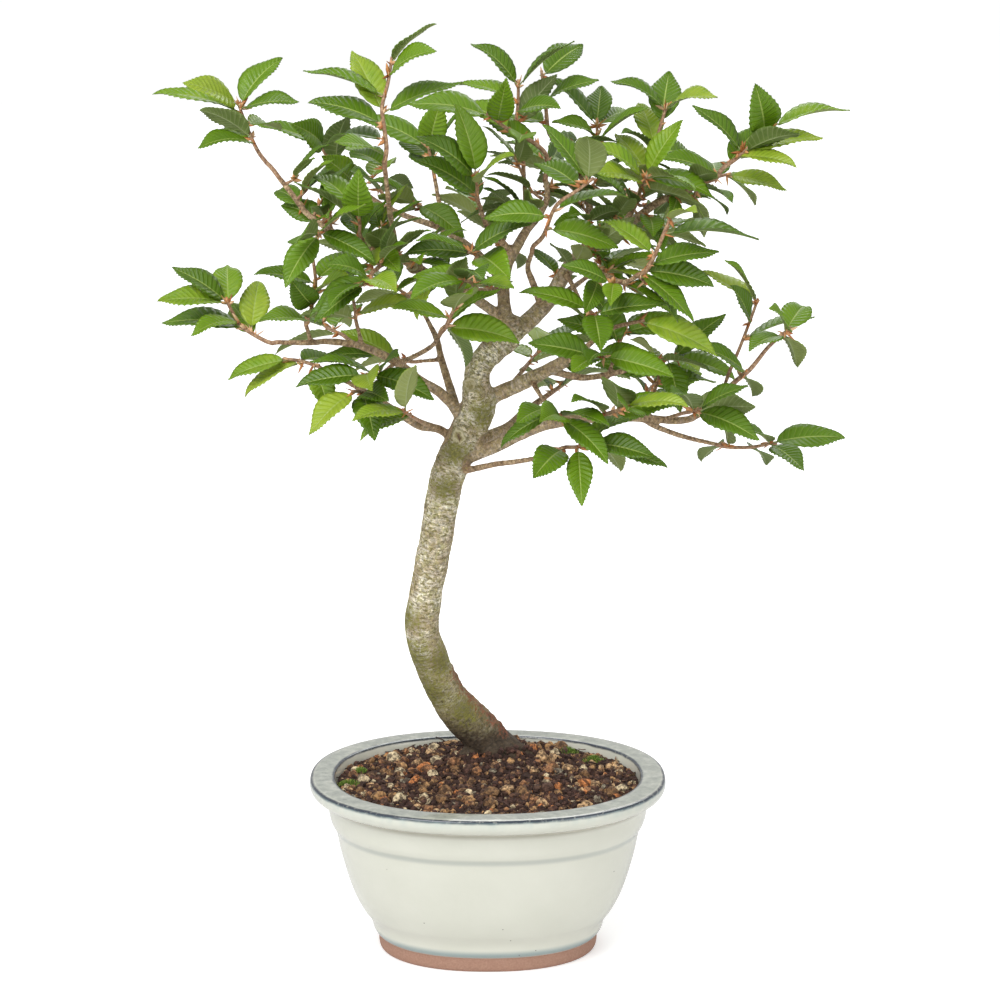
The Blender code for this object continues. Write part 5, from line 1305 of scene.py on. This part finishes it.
rng = random.Random(31)
bank, tints = [], []
for number in range(BANK):
    angle = rng.uniform(0, 2.0 * math.pi)
    away = 6.0 + (BANK_REACH - 6.0) * rng.random() ** 0.8
    x, y = 6.0 + away * math.cos(angle), TRUNK_FOOT[1] - 4.0 + away * math.sin(angle)
    place, facing, face, drop = skin.ray_cast((x, y, DROP_HEIGHT), (0.0, 0.0, -1.0))
    size = rng.uniform(0.9, 2.1)
    on_wood = place is not None and facing.z > 0.25 and place.z < BANK_TOP
    floor_height = max(place.z, soil_height(x, y)) if on_wood else soil_height(x, y)
    lift = 2.4 * rng.random() * max(0.0, 1.0 - away / BANK_REACH)
    bank.append(placing((x, y, floor_height + 0.2 * size + lift), (rng.random(), rng.random(), 1.0),
                        (size, size * 0.8, size * 0.9), rng.uniform(0, 6.3)))
    tints.append(0.85 * rng.random())
banked = copies(grain_shape, bank, tints)

bm = bmesh.new()
bmesh.ops.create_grid(bm, x_segments=5, y_segments=1, size=1.0)
bmesh.ops.solidify(bm, geom=bm.faces[:], thickness=1.4)
for vert in bm.verts:
    vert.co.y = 0.06 * vert.co.y + 0.25 * vert.co.x ** 2
    vert.co.z *= 0.07
rootlet = mesh_from(bm, "rootlet")
moves, tints = [], []
for number in range(ROOTLETS):
    place = on_soil(rng, 0.5) + Vector((0.0, 0.0, rng.uniform(1.6, 2.6)))
    lie = (rng.uniform(-0.3, 0.3), rng.uniform(-0.3, 0.3), 1.0)
    half = rng.uniform(2.5, 6.0)
    moves.append(placing(place, lie, (half, half, 4.0), rng.uniform(0, 6.3)))
    tints.append(rng.random())
rootlets = copies(rootlet, moves, tints)
print("banked crumbs:", BANK, "rootlets:", ROOTLETS, "of", triangles(rootlet), "triangles")

# %% Soil, finished
bm = bmesh.new()
for mesh, number in ((soil_bed, 0), (crumbs, 0), (banked, 0), (rootlets, 0), (stones, 1),
                     (chips, 1), (moss_mesh, 2)):
    for face in mesh.polygons:
        face.material_index = number
    bm.from_mesh(mesh)
mesh = bpy.data.meshes.new("soil")
bm.to_mesh(mesh)
bm.free()
soil = finish_piece("soil_with_grit", mesh, [crumb, stone, green], ["soil"],
                    smooth=False)
print("soil:", triangles(soil.data), "triangles")

# %% [markdown]
# ## Leaves, their plan
# A leaf is where it starts, where it points, which way its face looks, how long and
# wide it is, how it arches along the rib and how its halves fold up from it. From
# these few numbers the shoot's rule can test it against all that stands in its way.

# %% A leaf
STALK_SHARE = 0.09
STALK_SINK = 0.5
STALK_RADIUS = 0.6
RIB_THICKNESS = 1.3
LEAF_SLENDERNESS = 0.44
LEAF_LENGTHS = (34.0, 44.0)
LEAF_ARCHES = (0.35, 0.85)
LEAF_FOLDS = (12.0, 24.0)
EDGE_STATIONS = ((0.13, 1.0), (0.37, 1.05), (0.59, 0.93), (0.80, 1.05))
RIB_STATIONS = (0.36, 0.68)


def blade_outline(u):
    """Half-width of an ovate, long-pointed blade, as a share of its greatest."""
    swell = np.sin(np.pi * np.clip(u, 0.0, 1.0) ** 0.78)
    return 1.02 * np.maximum(0.0, swell) ** 0.85 * (1.0 - 0.28 * u ** 3)


class Leaf:
    """One leaf: where it starts, where it points, its size and its bend."""

    def __init__(self, base, along, face, length, width, arch, fold):
        self.base = base
        self.along = along.normalized()
        self.face = (face - self.along * face.dot(self.along)).normalized()
        self.side = self.along.cross(self.face)
        self.length = length
        self.width = width
        self.arch = arch
        self.fold = fold

    def rib(self, t):
        """Point on the rib, and the blade's face direction there."""
        half = self.arch / 2.0
        turn = half - self.arch * t
        ahead = (math.sin(half) - math.sin(turn)) / self.arch
        lift = (math.cos(turn) - math.cos(half)) / self.arch
        point = self.base + (self.along * ahead + self.face * lift) * self.length
        return point, self.face * math.cos(turn) - self.along * math.sin(turn)

    def edge(self, t, half_width, side):
        """Point at one side of the rib, on the blade folded up along it."""
        point, face = self.rib(t)
        point = point + self.side * (side * half_width * math.cos(self.fold))
        return point + face * (half_width * math.sin(self.fold))

    def shell(self, extra=0.0, blade_only=False):
        """Points and triangles of a plain shell round the leaf, or round its blade."""
        rows = [STALK_SHARE + (1.0 - STALK_SHARE) * u for u, wave in EDGE_STATIONS]
        widths = [self.width / 2.0 * float(blade_outline(u)) * wave + extra
                  for u, wave in EDGE_STATIONS]
        ribs = [STALK_SHARE + (1.0 - STALK_SHARE) * u for u in RIB_STATIONS]
        start = STALK_SHARE + 0.05 if blade_only else STALK_SHARE
        tip = self.rib(1.0 + extra / self.length)[0]
        root = self.rib(start - 0.01)[0] if blade_only else self.base - self.along * STALK_SINK
        shell = [root, tip]
        for side in (-1, 1):
            shell.append(self.edge(start, STALK_RADIUS + extra, side))
            shell += [self.edge(t, width, side) for t, width in zip(rows, widths)]
        for side in (-1, 1):
            for t in [start] + ribs:
                point, face = self.rib(t)
                shell.append(point + face * (side * (RIB_THICKNESS / 2.0 + extra)))
        faces = []
        for ribs_used in ((15, 16, 17), (12, 13, 14)):
            for edges in ((2, 3, 4, 5, 6), (7, 8, 9, 10, 11)):
                faces += half_blade(edges, ribs_used)
        return shell, faces


def half_blade(edges, ribs):
    """Triangles between the rib and one edge, from the root 0 to the tip 1."""
    e0, e1, e2, e3, e4 = edges
    r0, r1, r2 = ribs
    return [(0, e0, r0), (r0, e0, e1), (r0, e1, r1), (r1, e1, e2), (r1, e2, r2),
            (r2, e2, e3), (r2, e3, e4), (r2, e4, 1)]


print("a blade's width at its middle, as a share:", round(float(blade_outline(0.5)), 2))

# %% [markdown]
# Leaves stand to alternate sides, spread wide low on a shoot and close to its tip,
# and turn their faces between the sky and the open side of the tree. Those placed
# one by one state their heading themselves. Small random shares keep any two apart.

# %% Where leaves stand
ROOT_SINK = 0.25


def turned_leaf(base, along, outward, face, length, rng):
    """Face a leaf between the sky and outward, and draw its bend and width."""
    sky = Vector((0, 0, 1)) - along * along.z
    sky = sky.normalized() if sky.length > 0.15 else outward
    facing = outward - along * outward.dot(along)
    facing = facing.normalized() if facing.length > 0.15 else sky
    top = sky * math.cos(face) + facing * math.sin(face)
    width = length * LEAF_SLENDERNESS * rng.uniform(0.92, 1.1)
    arch = rng.uniform(*LEAF_ARCHES)
    fold = math.radians(rng.uniform(*LEAF_FOLDS))
    return Leaf(base, along, top, length, width, arch, fold)


def point_at(line, share):
    """Position and direction at a share of a line's length, sunk in at its end."""
    place = min(max(share, 0.0) * (len(line) - 1), len(line) - 1 - ROOT_SINK)
    k = min(int(place), len(line) - 2)
    a = Vector(line[k][:3])
    b = Vector(line[k + 1][:3])
    return a.lerp(b, place - k), (b - a).normalized()


def placed_leaf(line, spec, rng):
    """A leaf that is placed one by one: its heading is as seen from the front."""
    share, heading, length, lean, face = spec
    heading = math.radians(heading + rng.uniform(-4, 4))
    lean = math.radians(lean + rng.uniform(-6, 6))
    face = math.radians(face + rng.uniform(-8, 8))
    along = Vector((math.cos(heading) * math.cos(lean), -math.sin(lean),
                    math.sin(heading) * math.cos(lean)))
    base = point_at(line, share)[0]
    return turned_leaf(base, along, Vector((0, -1, 0)), face, length, rng)


def grown_leaf(line, share, hand, rng, lengths=LEAF_LENGTHS):
    """A leaf by the shoot's own rule: to alternate sides, closer to the tip."""
    base, shoot = point_at(line, share)
    outward = Vector((base.x, base.y, 0.0))
    outward = outward.normalized() if outward.length > 1.0 else Vector((0, -1, 0))
    upright = Vector((0, 0, 1)) + outward * rng.uniform(0.0, 0.6)
    across = shoot.cross(upright).normalized()
    spread = math.radians(62 - 38 * share + rng.uniform(-12, 12))
    lift = Vector((0, 0, 1)) * rng.uniform(-0.35, 0.25)
    along = shoot * math.cos(spread) + across * (hand * math.sin(spread)) + lift
    face = math.radians(rng.uniform(0, 50))
    return turned_leaf(base, along.normalized(), outward, face, rng.uniform(*lengths), rng)


print("middle of the first limb:", [round(v) for v in point_at(branches["leader_left"], 0.5)[0]])

# %% [markdown]
# Two leaves never grow through each other: each pushes aside. So every new leaf is
# tried against all that stands already, and drawn again a few times if it crosses
# something. The test is on plain shells, with a small margin round them.

# %% Keep leaves clear of each other
FIRST_LEAF_SHARE = 0.12
LAST_LEAF_SHARE = 0.92
CLEARANCE = 0.45
OWN_CLEARANCE = 0.15
WOOD_CLEARANCE = 0.2
TRIES = 16


class Obstacle:
    """A shape that leaves keep clear of, with its box for a quick test."""

    def __init__(self, corners, faces):
        self.tree = BVHTree.FromPolygons(corners, faces)
        self.low = [min(p[i] for p in corners) for i in range(3)]
        self.high = [max(p[i] for p in corners) for i in range(3)]

    def meets(self, other):
        """Whether the two surfaces cross."""
        for i in range(3):
            if self.low[i] > other.high[i] or self.high[i] < other.low[i]:
                return False
        return bool(self.tree.overlap(other.tree))


def rod_obstacle(line):
    """A rod with a margin, made by the same sweep as the wood."""
    wide = np.array(line, float)
    wide[:, 3] = (wide[:, 3] + WOOD_CLEARANCE) / math.cos(math.pi / 8)
    bm = bmesh.new()
    rod(bm, wide, 8)
    corners = [vert.co.copy() for vert in bm.verts]
    bm.verts.index_update()
    faces = [[vert.index for vert in face.verts] for face in bm.faces]
    bm.free()
    return Obstacle(corners, faces)


def is_clear(leaf, name, others):
    """Whether a leaf keeps clear: whole of other pieces, its blade of its own shoot."""
    wide = Obstacle(*leaf.shell(CLEARANCE))
    blade = Obstacle(*leaf.shell(OWN_CLEARANCE, True))
    return not any((blade if owner == name else wide).meets(other) for owner, other in others)


def leaf_plan(index, count, fixed):
    """The leaves to place on a shoot: the fixed ones, then those by the rule."""
    plan = [("placed", spec) for spec in fixed]
    taken = [spec[0] for spec in fixed]
    if not taken or max(taken) < 0.97:
        plan.append(("grown", (1.0, 1)))
    free = max(0, count - len(plan))
    for k in range(free):
        share = FIRST_LEAF_SHARE + (LAST_LEAF_SHARE - FIRST_LEAF_SHARE) * (k + 0.5) / free
        plan.append(("grown", (share, 1 if (k + index) % 2 else -1)))
    return plan


print("leaves planned:", sum(len(leaf_plan(0, row[2], row[4])) for row in SHOOTS))

# %% Grow the leaves
standing = [(None, rod_obstacle(trunk_line))]
standing += [(None, rod_obstacle(line)) for line in branches.values()]
standing += [(name, rod_obstacle(line)) for name, line in shoots.items()]
leaves = {}
for index, (name, branch, count, points_given, fixed) in enumerate(SHOOTS):
    leaves[name] = []
    for number, (kind, spec) in enumerate(leaf_plan(index, count, fixed)):
        for attempt in range(TRIES):
            rng = random.Random(100000 * index + 1000 * number + attempt)
            grow = placed_leaf if kind == "placed" else grown_leaf
            leaf = grow(shoots[name], *((spec,) if kind == "placed" else spec), rng)
            if is_clear(leaf, name, standing):
                leaves[name].append(leaf)
                standing.append((name, Obstacle(*leaf.shell())))
                break
print("leaves on shoots:", sum(len(own) for own in leaves.values()))

# %% [markdown]
# ## The blade
# A hornbeam blade is pleated: a dozen pairs of straight side veins leave the rib
# and run slanting to the edge, each in a furrow, and the blade rises in a soft ridge
# between two of them. Each vein ends in a large tooth, with a small tooth between.
# A flat grid is laid out with its rows along the veins, three to a pleat, and made
# solid. Its X is the share across from edge to edge, its Y the count of veins.

# %% The blade's grid
VEINS = 13
ROWS_PER_VEIN = 3
ACROSS = (0.0, 0.05, 0.36, 0.7, 1.0)

bm = bmesh.new()
columns = 2 * (len(ACROSS) - 1)
rows = VEINS * ROWS_PER_VEIN
bmesh.ops.create_grid(bm, x_segments=columns, y_segments=rows, size=1.0)
uv = bm.loops.layers.uv.new("UVMap")
for vert in bm.verts:
    column = round((vert.co.x + 1.0) / 2.0 * columns) - columns // 2
    row = round((vert.co.y + 1.0) / 2.0 * rows)
    vert.co = (math.copysign(ACROSS[abs(column)], column), row / ROWS_PER_VEIN, 0.0)
for face in bm.faces:
    for loop in face.loops:
        loop[uv].uv = ((loop.vert.co.x + 1.0) / 2.0, loop.vert.co.y)
if bm.faces[:][0].normal.z < 0.0:
    bmesh.ops.reverse_faces(bm, faces=bm.faces)
under = bmesh.ops.duplicate(bm, geom=bm.faces[:])["geom"]
under_verts = [item for item in under if isinstance(item, bmesh.types.BMVert)]
under_faces = [item for item in under if isinstance(item, bmesh.types.BMFace)]
bmesh.ops.translate(bm, vec=(0.0, 0.0, -1.0), verts=under_verts)
bmesh.ops.reverse_faces(bm, faces=under_faces)
for face in under_faces:
    face.material_index = 1
rims = [edge for edge in bm.edges if edge.is_boundary]
bmesh.ops.bridge_loops(bm, edges=rims)
for face in bm.faces:
    face.smooth = True
blade = bpy.data.meshes.new("blade")
bm.to_mesh(blade)
bm.free()
blade_points = np.array([tuple(vert.co) for vert in blade.vertices])
print("triangles in a blade:", triangles(blade))

# %% [markdown]
# Then the flat blade is laid on each leaf: rows slant forward as the veins do, the
# width follows the outline and its teeth, and the pleats, the fold along the rib and
# the arch lift it out of its plane. The rib itself stands proud below. A blade has more
# faces than a shape that is only repeated should have, because each leaf has its own
# bend, twist, pleats and teeth, and these show at its edge.

# %% Lay the blade on a leaf
VEIN_SLANT = 0.17
PLEAT_DEPTH = 0.42
LARGE_TOOTH = 0.4
SMALL_TOOTH = 0.2
WAVE_HEIGHT = 0.7
BLADE_THICKNESS = 0.26


def laid(leaf, twist, size=1.0):
    """The blade's points, laid on a leaf and twisted a little towards its tip."""
    across, vein, level = blade_points.T
    share = vein / VEINS
    u = share + VEIN_SLANT * np.abs(across) * np.sin(np.pi * share)
    pleat = np.cos(2.0 * np.pi * vein)
    on_edge = np.clip((np.abs(across) - 0.75) * 4.0, 0.0, 1.0)
    body = np.sin(np.pi * np.clip(share, 0.02, 0.98)) ** 0.5
    teeth = np.where(pleat > 0.5, LARGE_TOOTH, np.where(vein % 1.0 < 0.5, SMALL_TOOTH, -0.12))
    half_width = leaf.width / 2.0 * blade_outline(u) + on_edge * teeth * body * size
    u = np.clip(u + on_edge * np.where(pleat > 0.5, 0.012, 0.0) * body, 0.0, 1.0)
    t = STALK_SHARE + (1.0 - STALK_SHARE) * u
    half = leaf.arch / 2.0
    turn = half - leaf.arch * t
    ahead = (math.sin(half) - np.sin(turn)) / leaf.arch
    lift = (np.cos(turn) - math.cos(half)) / leaf.arch
    base, along, face, side = (np.array(v) for v in (leaf.base, leaf.along, leaf.face, leaf.side))
    rib = base + (np.outer(ahead, along) + np.outer(lift, face)) * leaf.length
    normal = np.outer(np.cos(turn), face) - np.outer(np.sin(turn), along)
    x = across * half_width
    fold = np.abs(x) * math.sin(leaf.fold) * (1.15 - 0.35 * np.abs(across))
    ridge = -PLEAT_DEPTH * size * pleat * body * np.clip(np.abs(across) * 6.0, 0.0, 1.0)
    near_rib = np.clip(1.0 - np.abs(across) * 20.0, 0.0, 1.0)
    deep = level * (BLADE_THICKNESS + near_rib * 0.45 * (1.1 - share)) * size
    wave = WAVE_HEIGHT * size * np.abs(across) * np.sin(2.0 * np.pi * (1.4 * share + 3.0 * twist))
    rise = fold + ridge + deep + wave - near_rib * 0.12 * (1.0 + level)
    angle = (twist * share)[:, None]
    sideways = side * np.cos(angle) + normal * np.sin(angle)
    upward = normal * np.cos(angle) - side * np.sin(angle)
    return rib + sideways * (x * math.cos(leaf.fold))[:, None] + upward * rise[:, None]


print("points in a blade:", len(blade_points), "thickness:", BLADE_THICKNESS, "mm")

# %% [markdown]
# Where a leaf leaves the twig it has a short stalk, a pointed winter bud in its
# angle, and on young growth a pair of papery scales. All are small round cones, the
# scales pressed flat.

# %% Stalk, bud and scale
def cone_shape(name, sides, bottom, top, swollen=0.0):
    """A closed round cone one unit high along Z, a little swollen in its middle."""
    bm = bmesh.new()
    bmesh.ops.create_cone(bm, cap_ends=True, segments=sides, radius1=bottom, radius2=top, depth=1.0,
                          matrix=Matrix.Translation((0.0, 0.0, 0.5)))
    ribs = [edge for edge in bm.edges if abs(edge.verts[0].co.z - edge.verts[1].co.z) > 0.5]
    new = bmesh.ops.subdivide_edges(bm, edges=ribs, cuts=1)["geom_inner"]
    for item in new:
        if isinstance(item, bmesh.types.BMVert):
            item.co.x *= 1.0 + swollen
            item.co.y *= 1.0 + swollen
    return mesh_from(bm, name)


stalk_shape = cone_shape("stalk", 6, 1.15, 0.8)
bud_shape = cone_shape("bud", 6, 0.6, 0.12, 0.7)
scale_shape = cone_shape("scale", 4, 0.35, 0.08, 1.0)
print("triangles:", [triangles(shape) for shape in (stalk_shape, bud_shape, scale_shape)])

# %% [markdown]
# ## Leaf materials
# The upper face is a saturated, waxy green. Its rib and veins are paler, and the
# furrows catch less light than the ridges. Light that falls on the far side shines
# through, which makes a thin leaf glow, so a share of the shader lets it pass. Each
# leaf has its own tint: most are full green, a few young ones yellowish.

# %% Leaf faces
def leaf_material(name, tones, vein_tone, vein_share, roughness, glow):
    """A leaf's face: tones over the tint, paler veins, and light shining through."""
    material, tree, shader = start_material(name, Roughness=roughness)
    tint = add(tree, "ShaderNodeAttribute", attribute_name="tint").outputs["Fac"]
    place = add(tree, "ShaderNodeTexCoord")
    uv = add(tree, "ShaderNodeSeparateXYZ", {"Vector": place.outputs["UV"]})
    cloud = add(tree, "ShaderNodeTexNoise", {"Vector": place.outputs["Object"], "Scale": 130.0,
                                             "Detail": 4.0}).outputs["Fac"]
    mixed = add(tree, "ShaderNodeMath", {0: cloud, 1: 0.5, 2: tint}, operation="MULTIPLY_ADD")
    mixed = add(tree, "ShaderNodeMath", {0: mixed.outputs[0], 1: 0.25}, operation="SUBTRACT")
    colour = add(tree, "ShaderNodeValToRGB", {"Fac": mixed.outputs[0]}, tones).outputs["Color"]
    across = add(tree, "ShaderNodeMath", {0: uv.outputs["X"], 1: 0.5}, operation="SUBTRACT")
    across = maths(tree, "ABSOLUTE", across.outputs[0])
    rib = remap(tree, across, (0.008, 0.034), (1.0, 0.0))
    wave = add(tree, "ShaderNodeMath", {0: uv.outputs["Y"], 1: 0.5}, operation="PINGPONG")
    vein = remap(tree, wave.outputs[0], (0.03, 0.13), (vein_share, 0.0))
    mesh_web = add(tree, "ShaderNodeTexVoronoi", {"Vector": place.outputs["Object"],
                                                  "Scale": 1500.0}, feature="DISTANCE_TO_EDGE")
    web = remap(tree, mesh_web.outputs["Distance"], (0.0, 0.12), (0.2 * vein_share, 0.0))
    lines = maths(tree, "MAXIMUM", rib, vein)
    lines = maths(tree, "MAXIMUM", lines, web)
    colour = mix(tree, lines, colour, linear(vein_tone))
    relief = maths(tree, "MULTIPLY_ADD", mesh_web.outputs["Distance"], 0.4, wave.outputs[0])
    bump = add(tree, "ShaderNodeBump", {"Height": relief, "Strength": 0.5, "Distance": 0.0006})
    through = add(tree, "ShaderNodeBsdfTranslucent", {"Color": colour})
    both = add(tree, "ShaderNodeMixShader", {0: glow, 1: shader.outputs[0], 2: through.outputs[0]})
    tree.links.new(colour, shader.inputs["Base Color"])
    tree.links.new(bump.outputs["Normal"], shader.inputs["Normal"])
    tree.links.new(both.outputs[0], tree.nodes["Material Output"].inputs["Surface"])
    return material


leaf_top = leaf_material("hornbeam leaf, waxy upper face",
                         [(0.0, "#5b8010"), (0.35, "#6c9512"), (0.75, "#82aa1c"), (1.0, "#aec63c")],
                         "#b9cf6c", 0.22, 0.33, 0.24)
leaf_under = leaf_material("hornbeam leaf, matt lower face",
                           [(0.0, "#738a45"), (0.5, "#8f9f58"), (1.0, "#afba6e")],
                           "#c2cd96", 0.42, 0.55, 0.26)
print("leaf materials:", leaf_top.name, "/", leaf_under.name)

# %% [markdown]
# Young twigs are tan and faintly glossy, with paler pores. Bud scales are papery and
# rust-brown.

# %% Twig and scale materials
twig_skin, tree, shader = start_material("young hornbeam twig, smooth", Roughness=0.6)
place = add(tree, "ShaderNodeTexCoord").outputs["Object"]
pores = add(tree, "ShaderNodeTexNoise", {"Vector": place, "Scale": 700.0, "Detail": 4.0})
tone = add(tree, "ShaderNodeValToRGB", {"Fac": pores.outputs["Fac"]},
           [(0.3, "#765640"), (0.52, "#a68163"), (0.75, "#cfb08e")]).outputs["Color"]
bump = add(tree, "ShaderNodeBump", {"Height": pores.outputs["Fac"], "Strength": 0.4,
                                    "Distance": 0.0004})
tree.links.new(tone, shader.inputs["Base Color"])
tree.links.new(bump.outputs["Normal"], shader.inputs["Normal"])

papery, tree, shader = start_material("bud scale, dry and papery", Roughness=0.55)
tint = add(tree, "ShaderNodeAttribute", attribute_name="tint").outputs["Fac"]
tone = add(tree, "ShaderNodeValToRGB", {"Fac": tint},
           [(0.0, "#ad6838"), (0.5, "#d8965c"), (1.0, "#ecc79e")]).outputs["Color"]
tree.links.new(tone, shader.inputs["Base Color"])
print("materials:", twig_skin.name, "/", papery.name)

# %% [markdown]
# ## Shoots, assembled
# The parts of a shoot are laid into one mesh: first the blades, one copy for each
# leaf, then the twig, the stalks, the buds and the scales. The twig starts a little
# inside the end of its branch, so wood runs on without a step.

# %% Assemble a shoot
TWIG_SIDES = 8


def numbered(mesh, number):
    """Give all faces of a mesh one material number."""
    for face in mesh.polygons:
        face.material_index = number
    return mesh


def leafy_mesh(name, lines, own, rng, size=1.0):
    """The mesh of twigs with their leaves, stalks, buds and scales."""
    identity = [Matrix.Identity(4)] * len(own)
    blades = copies(blade, identity, [rng.random() ** 1.3 for leaf in own])
    places = np.concatenate([laid(leaf, rng.uniform(-0.35, 0.35), size) for leaf in own])
    blades.vertices.foreach_set("co", places.astype(np.float32).ravel())
    stalks, buds, scales = [], [], []
    for leaf in own:
        foot = leaf.base - leaf.along * STALK_SINK
        joint = leaf.rib(STALK_SHARE + 0.02)[0]
        stalks.append(placing(foot, joint - foot, (0.42 * size, 0.42 * size, (joint - foot).length)))
        lean = (leaf.along * 0.7 + leaf.face * 0.7).normalized()
        swell = rng.uniform(0.9, 1.3)
        buds.append(placing(leaf.base - lean * 0.3, lean, (swell, swell, rng.uniform(2.6, 4.6))))
        for number in range(rng.choice((2, 2, 3))):
            lean = (leaf.side * rng.uniform(-1, 1) + leaf.along * rng.uniform(0.1, 0.9)
                    + leaf.face * rng.uniform(-0.5, 0.7)).normalized()
            long = rng.uniform(3.6, 7.4)
            scales.append(placing(leaf.base, lean, (2.5, 0.9, long), rng.uniform(0, 3)))
    bm = bmesh.new()
    for line in lines:
        rod(bm, line, TWIG_SIDES)
    twig = mesh_from(bm, "twig")
    bm = bmesh.new()
    bm.from_mesh(blades)
    bm.from_mesh(numbered(twig, 2))
    bm.from_mesh(numbered(copies(stalk_shape, stalks, [0.5] * len(stalks)), 1))
    bm.from_mesh(numbered(copies(bud_shape, buds, [rng.random() for bud in buds]), 3))
    if scales:
        bm.from_mesh(numbered(copies(scale_shape, scales, [rng.random() for item in scales]), 3))
    mesh = bpy.data.meshes.new(name)
    bm.to_mesh(mesh)
    bm.free()
    return mesh


skins = [leaf_top, leaf_under, twig_skin, papery]
total = 0
for index, (name, branch, count, given, fixed) in enumerate(SHOOTS):
    rng = random.Random(500 + index)
    wood_end = branches[branch]
    inner = Vector(wood_end[-1][:3]).lerp(Vector(wood_end[-2][:3]), 0.12)
    line = np.vstack(([*inner, wood_end[-1][3] * 0.95],
                      shoot_line(wood_end, given, 3.0)))
    mesh = leafy_mesh(name, [line], leaves[name], rng)
    total += triangles(mesh)
    finish_piece("spray_" + name, mesh, skins, ["shoot_" + name])
print("triangles of leafy shoots:", total)

# %% [markdown]
# ## Inner sprigs
# Old wood sprouts short spurs wherever light reaches it, and each holds two or three
# smaller leaves. They close the gaps behind the outer shoots. A sprig is kept only
# if its leaves keep clear of all the others and stay inside the tree's own box. The
# fork of the trunk is kept open to the front, where the real tree shows bare wood.

# %% Sprout on old wood
SPRIG_SPACING = 10.0
SPRIG_LENGTHS = (6.0, 15.0)
SPRIG_LEAVES = (24.0, 34.0)
SPRIG_LIMIT = 125
SPRIG_DETAIL = 0.75
OPEN_HEART = ((-20.0, 45.0), (-90.0, 6.0), (325.0, 402.0))


def inside(leaf):
    """Whether a leaf stays inside the plain model's box."""
    points = [leaf.rib(1.0)[0]] + [leaf.edge(0.5, leaf.width / 2.0, side) for side in (1, -1)]
    return all(cad_low[i] * 1000 < p[i] < cad_high[i] * 1000 for p in points for i in range(3))


sprigs = []
sprig_leaves = 0
for index, (name, sides, start, end, given) in enumerate(BRANCHES):
    line = branches[name]
    length = sum(math.dist(a[:3], b[:3]) for a, b in zip(line, line[1:]))
    places = max(1, int(length / SPRIG_SPACING))
    for number in range(places):
        rng = random.Random(7000 + 100 * index + number)
        base, along = point_at(line, 0.2 + 0.8 * (number + rng.random()) / places)
        sideways = Vector((rng.uniform(-1, 1), rng.uniform(-1, 1), rng.uniform(-0.4, 1.0)))
        away = (sideways - along * sideways.dot(along) * 0.6).normalized()
        tip = base + away * rng.uniform(*SPRIG_LENGTHS)
        bend = base.lerp(tip, 0.5) + Vector((0, 0, rng.uniform(-1.0, 1.5)))
        spur = smooth_line([(*base, 0.95), (*bend, 0.8), (*tip, 0.6)], 3.0)
        own = []
        for share, hand in ((1.0, 1), (0.75, -1), (0.5, 1)):
            for attempt in range(10):
                leaf = grown_leaf(spur, share, hand, rng, SPRIG_LEAVES)
                if inside(leaf) and is_clear(leaf, "sprig", standing):
                    own.append(leaf)
                    standing.append(("sprig " + str(index), Obstacle(*leaf.shell())))
                    break
        in_heart = all(low < value < high for value, (low, high) in zip(tip, OPEN_HEART))
        if own and sprig_leaves < SPRIG_LIMIT and not in_heart:
            sprigs.append((spur, own))
            sprig_leaves += len(own)
print("sprigs:", len(sprigs), "with", sprig_leaves, "leaves")

# %% [markdown]
# Sprigs are gathered into three pieces, by where they stand in the crown.

# %% Assemble the sprigs
for name, keep in (("left", lambda x: x < -25.0), ("middle", lambda x: -25.0 <= x <= 45.0),
                   ("right", lambda x: x > 45.0)):
    chosen = [(spur, own) for spur, own in sprigs if keep(spur[-1][0])]
    own = [leaf for spur, group in chosen for leaf in group]
    mesh = leafy_mesh("sprigs " + name, [spur for spur, group in chosen], own,
                      random.Random(900), SPRIG_DETAIL)
    piece = finish_piece("sprigs_" + name, mesh, skins)
    print(piece.name, triangles(piece.data), "triangles")

# %% [markdown]
# ## Sizes and finish
# The finished tree has to fill the same box as its plain solids. Both boxes are
# kept, and their sizes printed.

# %% Compare the boxes
low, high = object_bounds()
size = {"cad": [list(cad_low), list(cad_high)], "visual": [list(low), list(high)]}
print("plain:", [round(v * 1000, 1) for v in cad_high - cad_low],
      "finished:", [round(v * 1000, 1) for v in high - low])
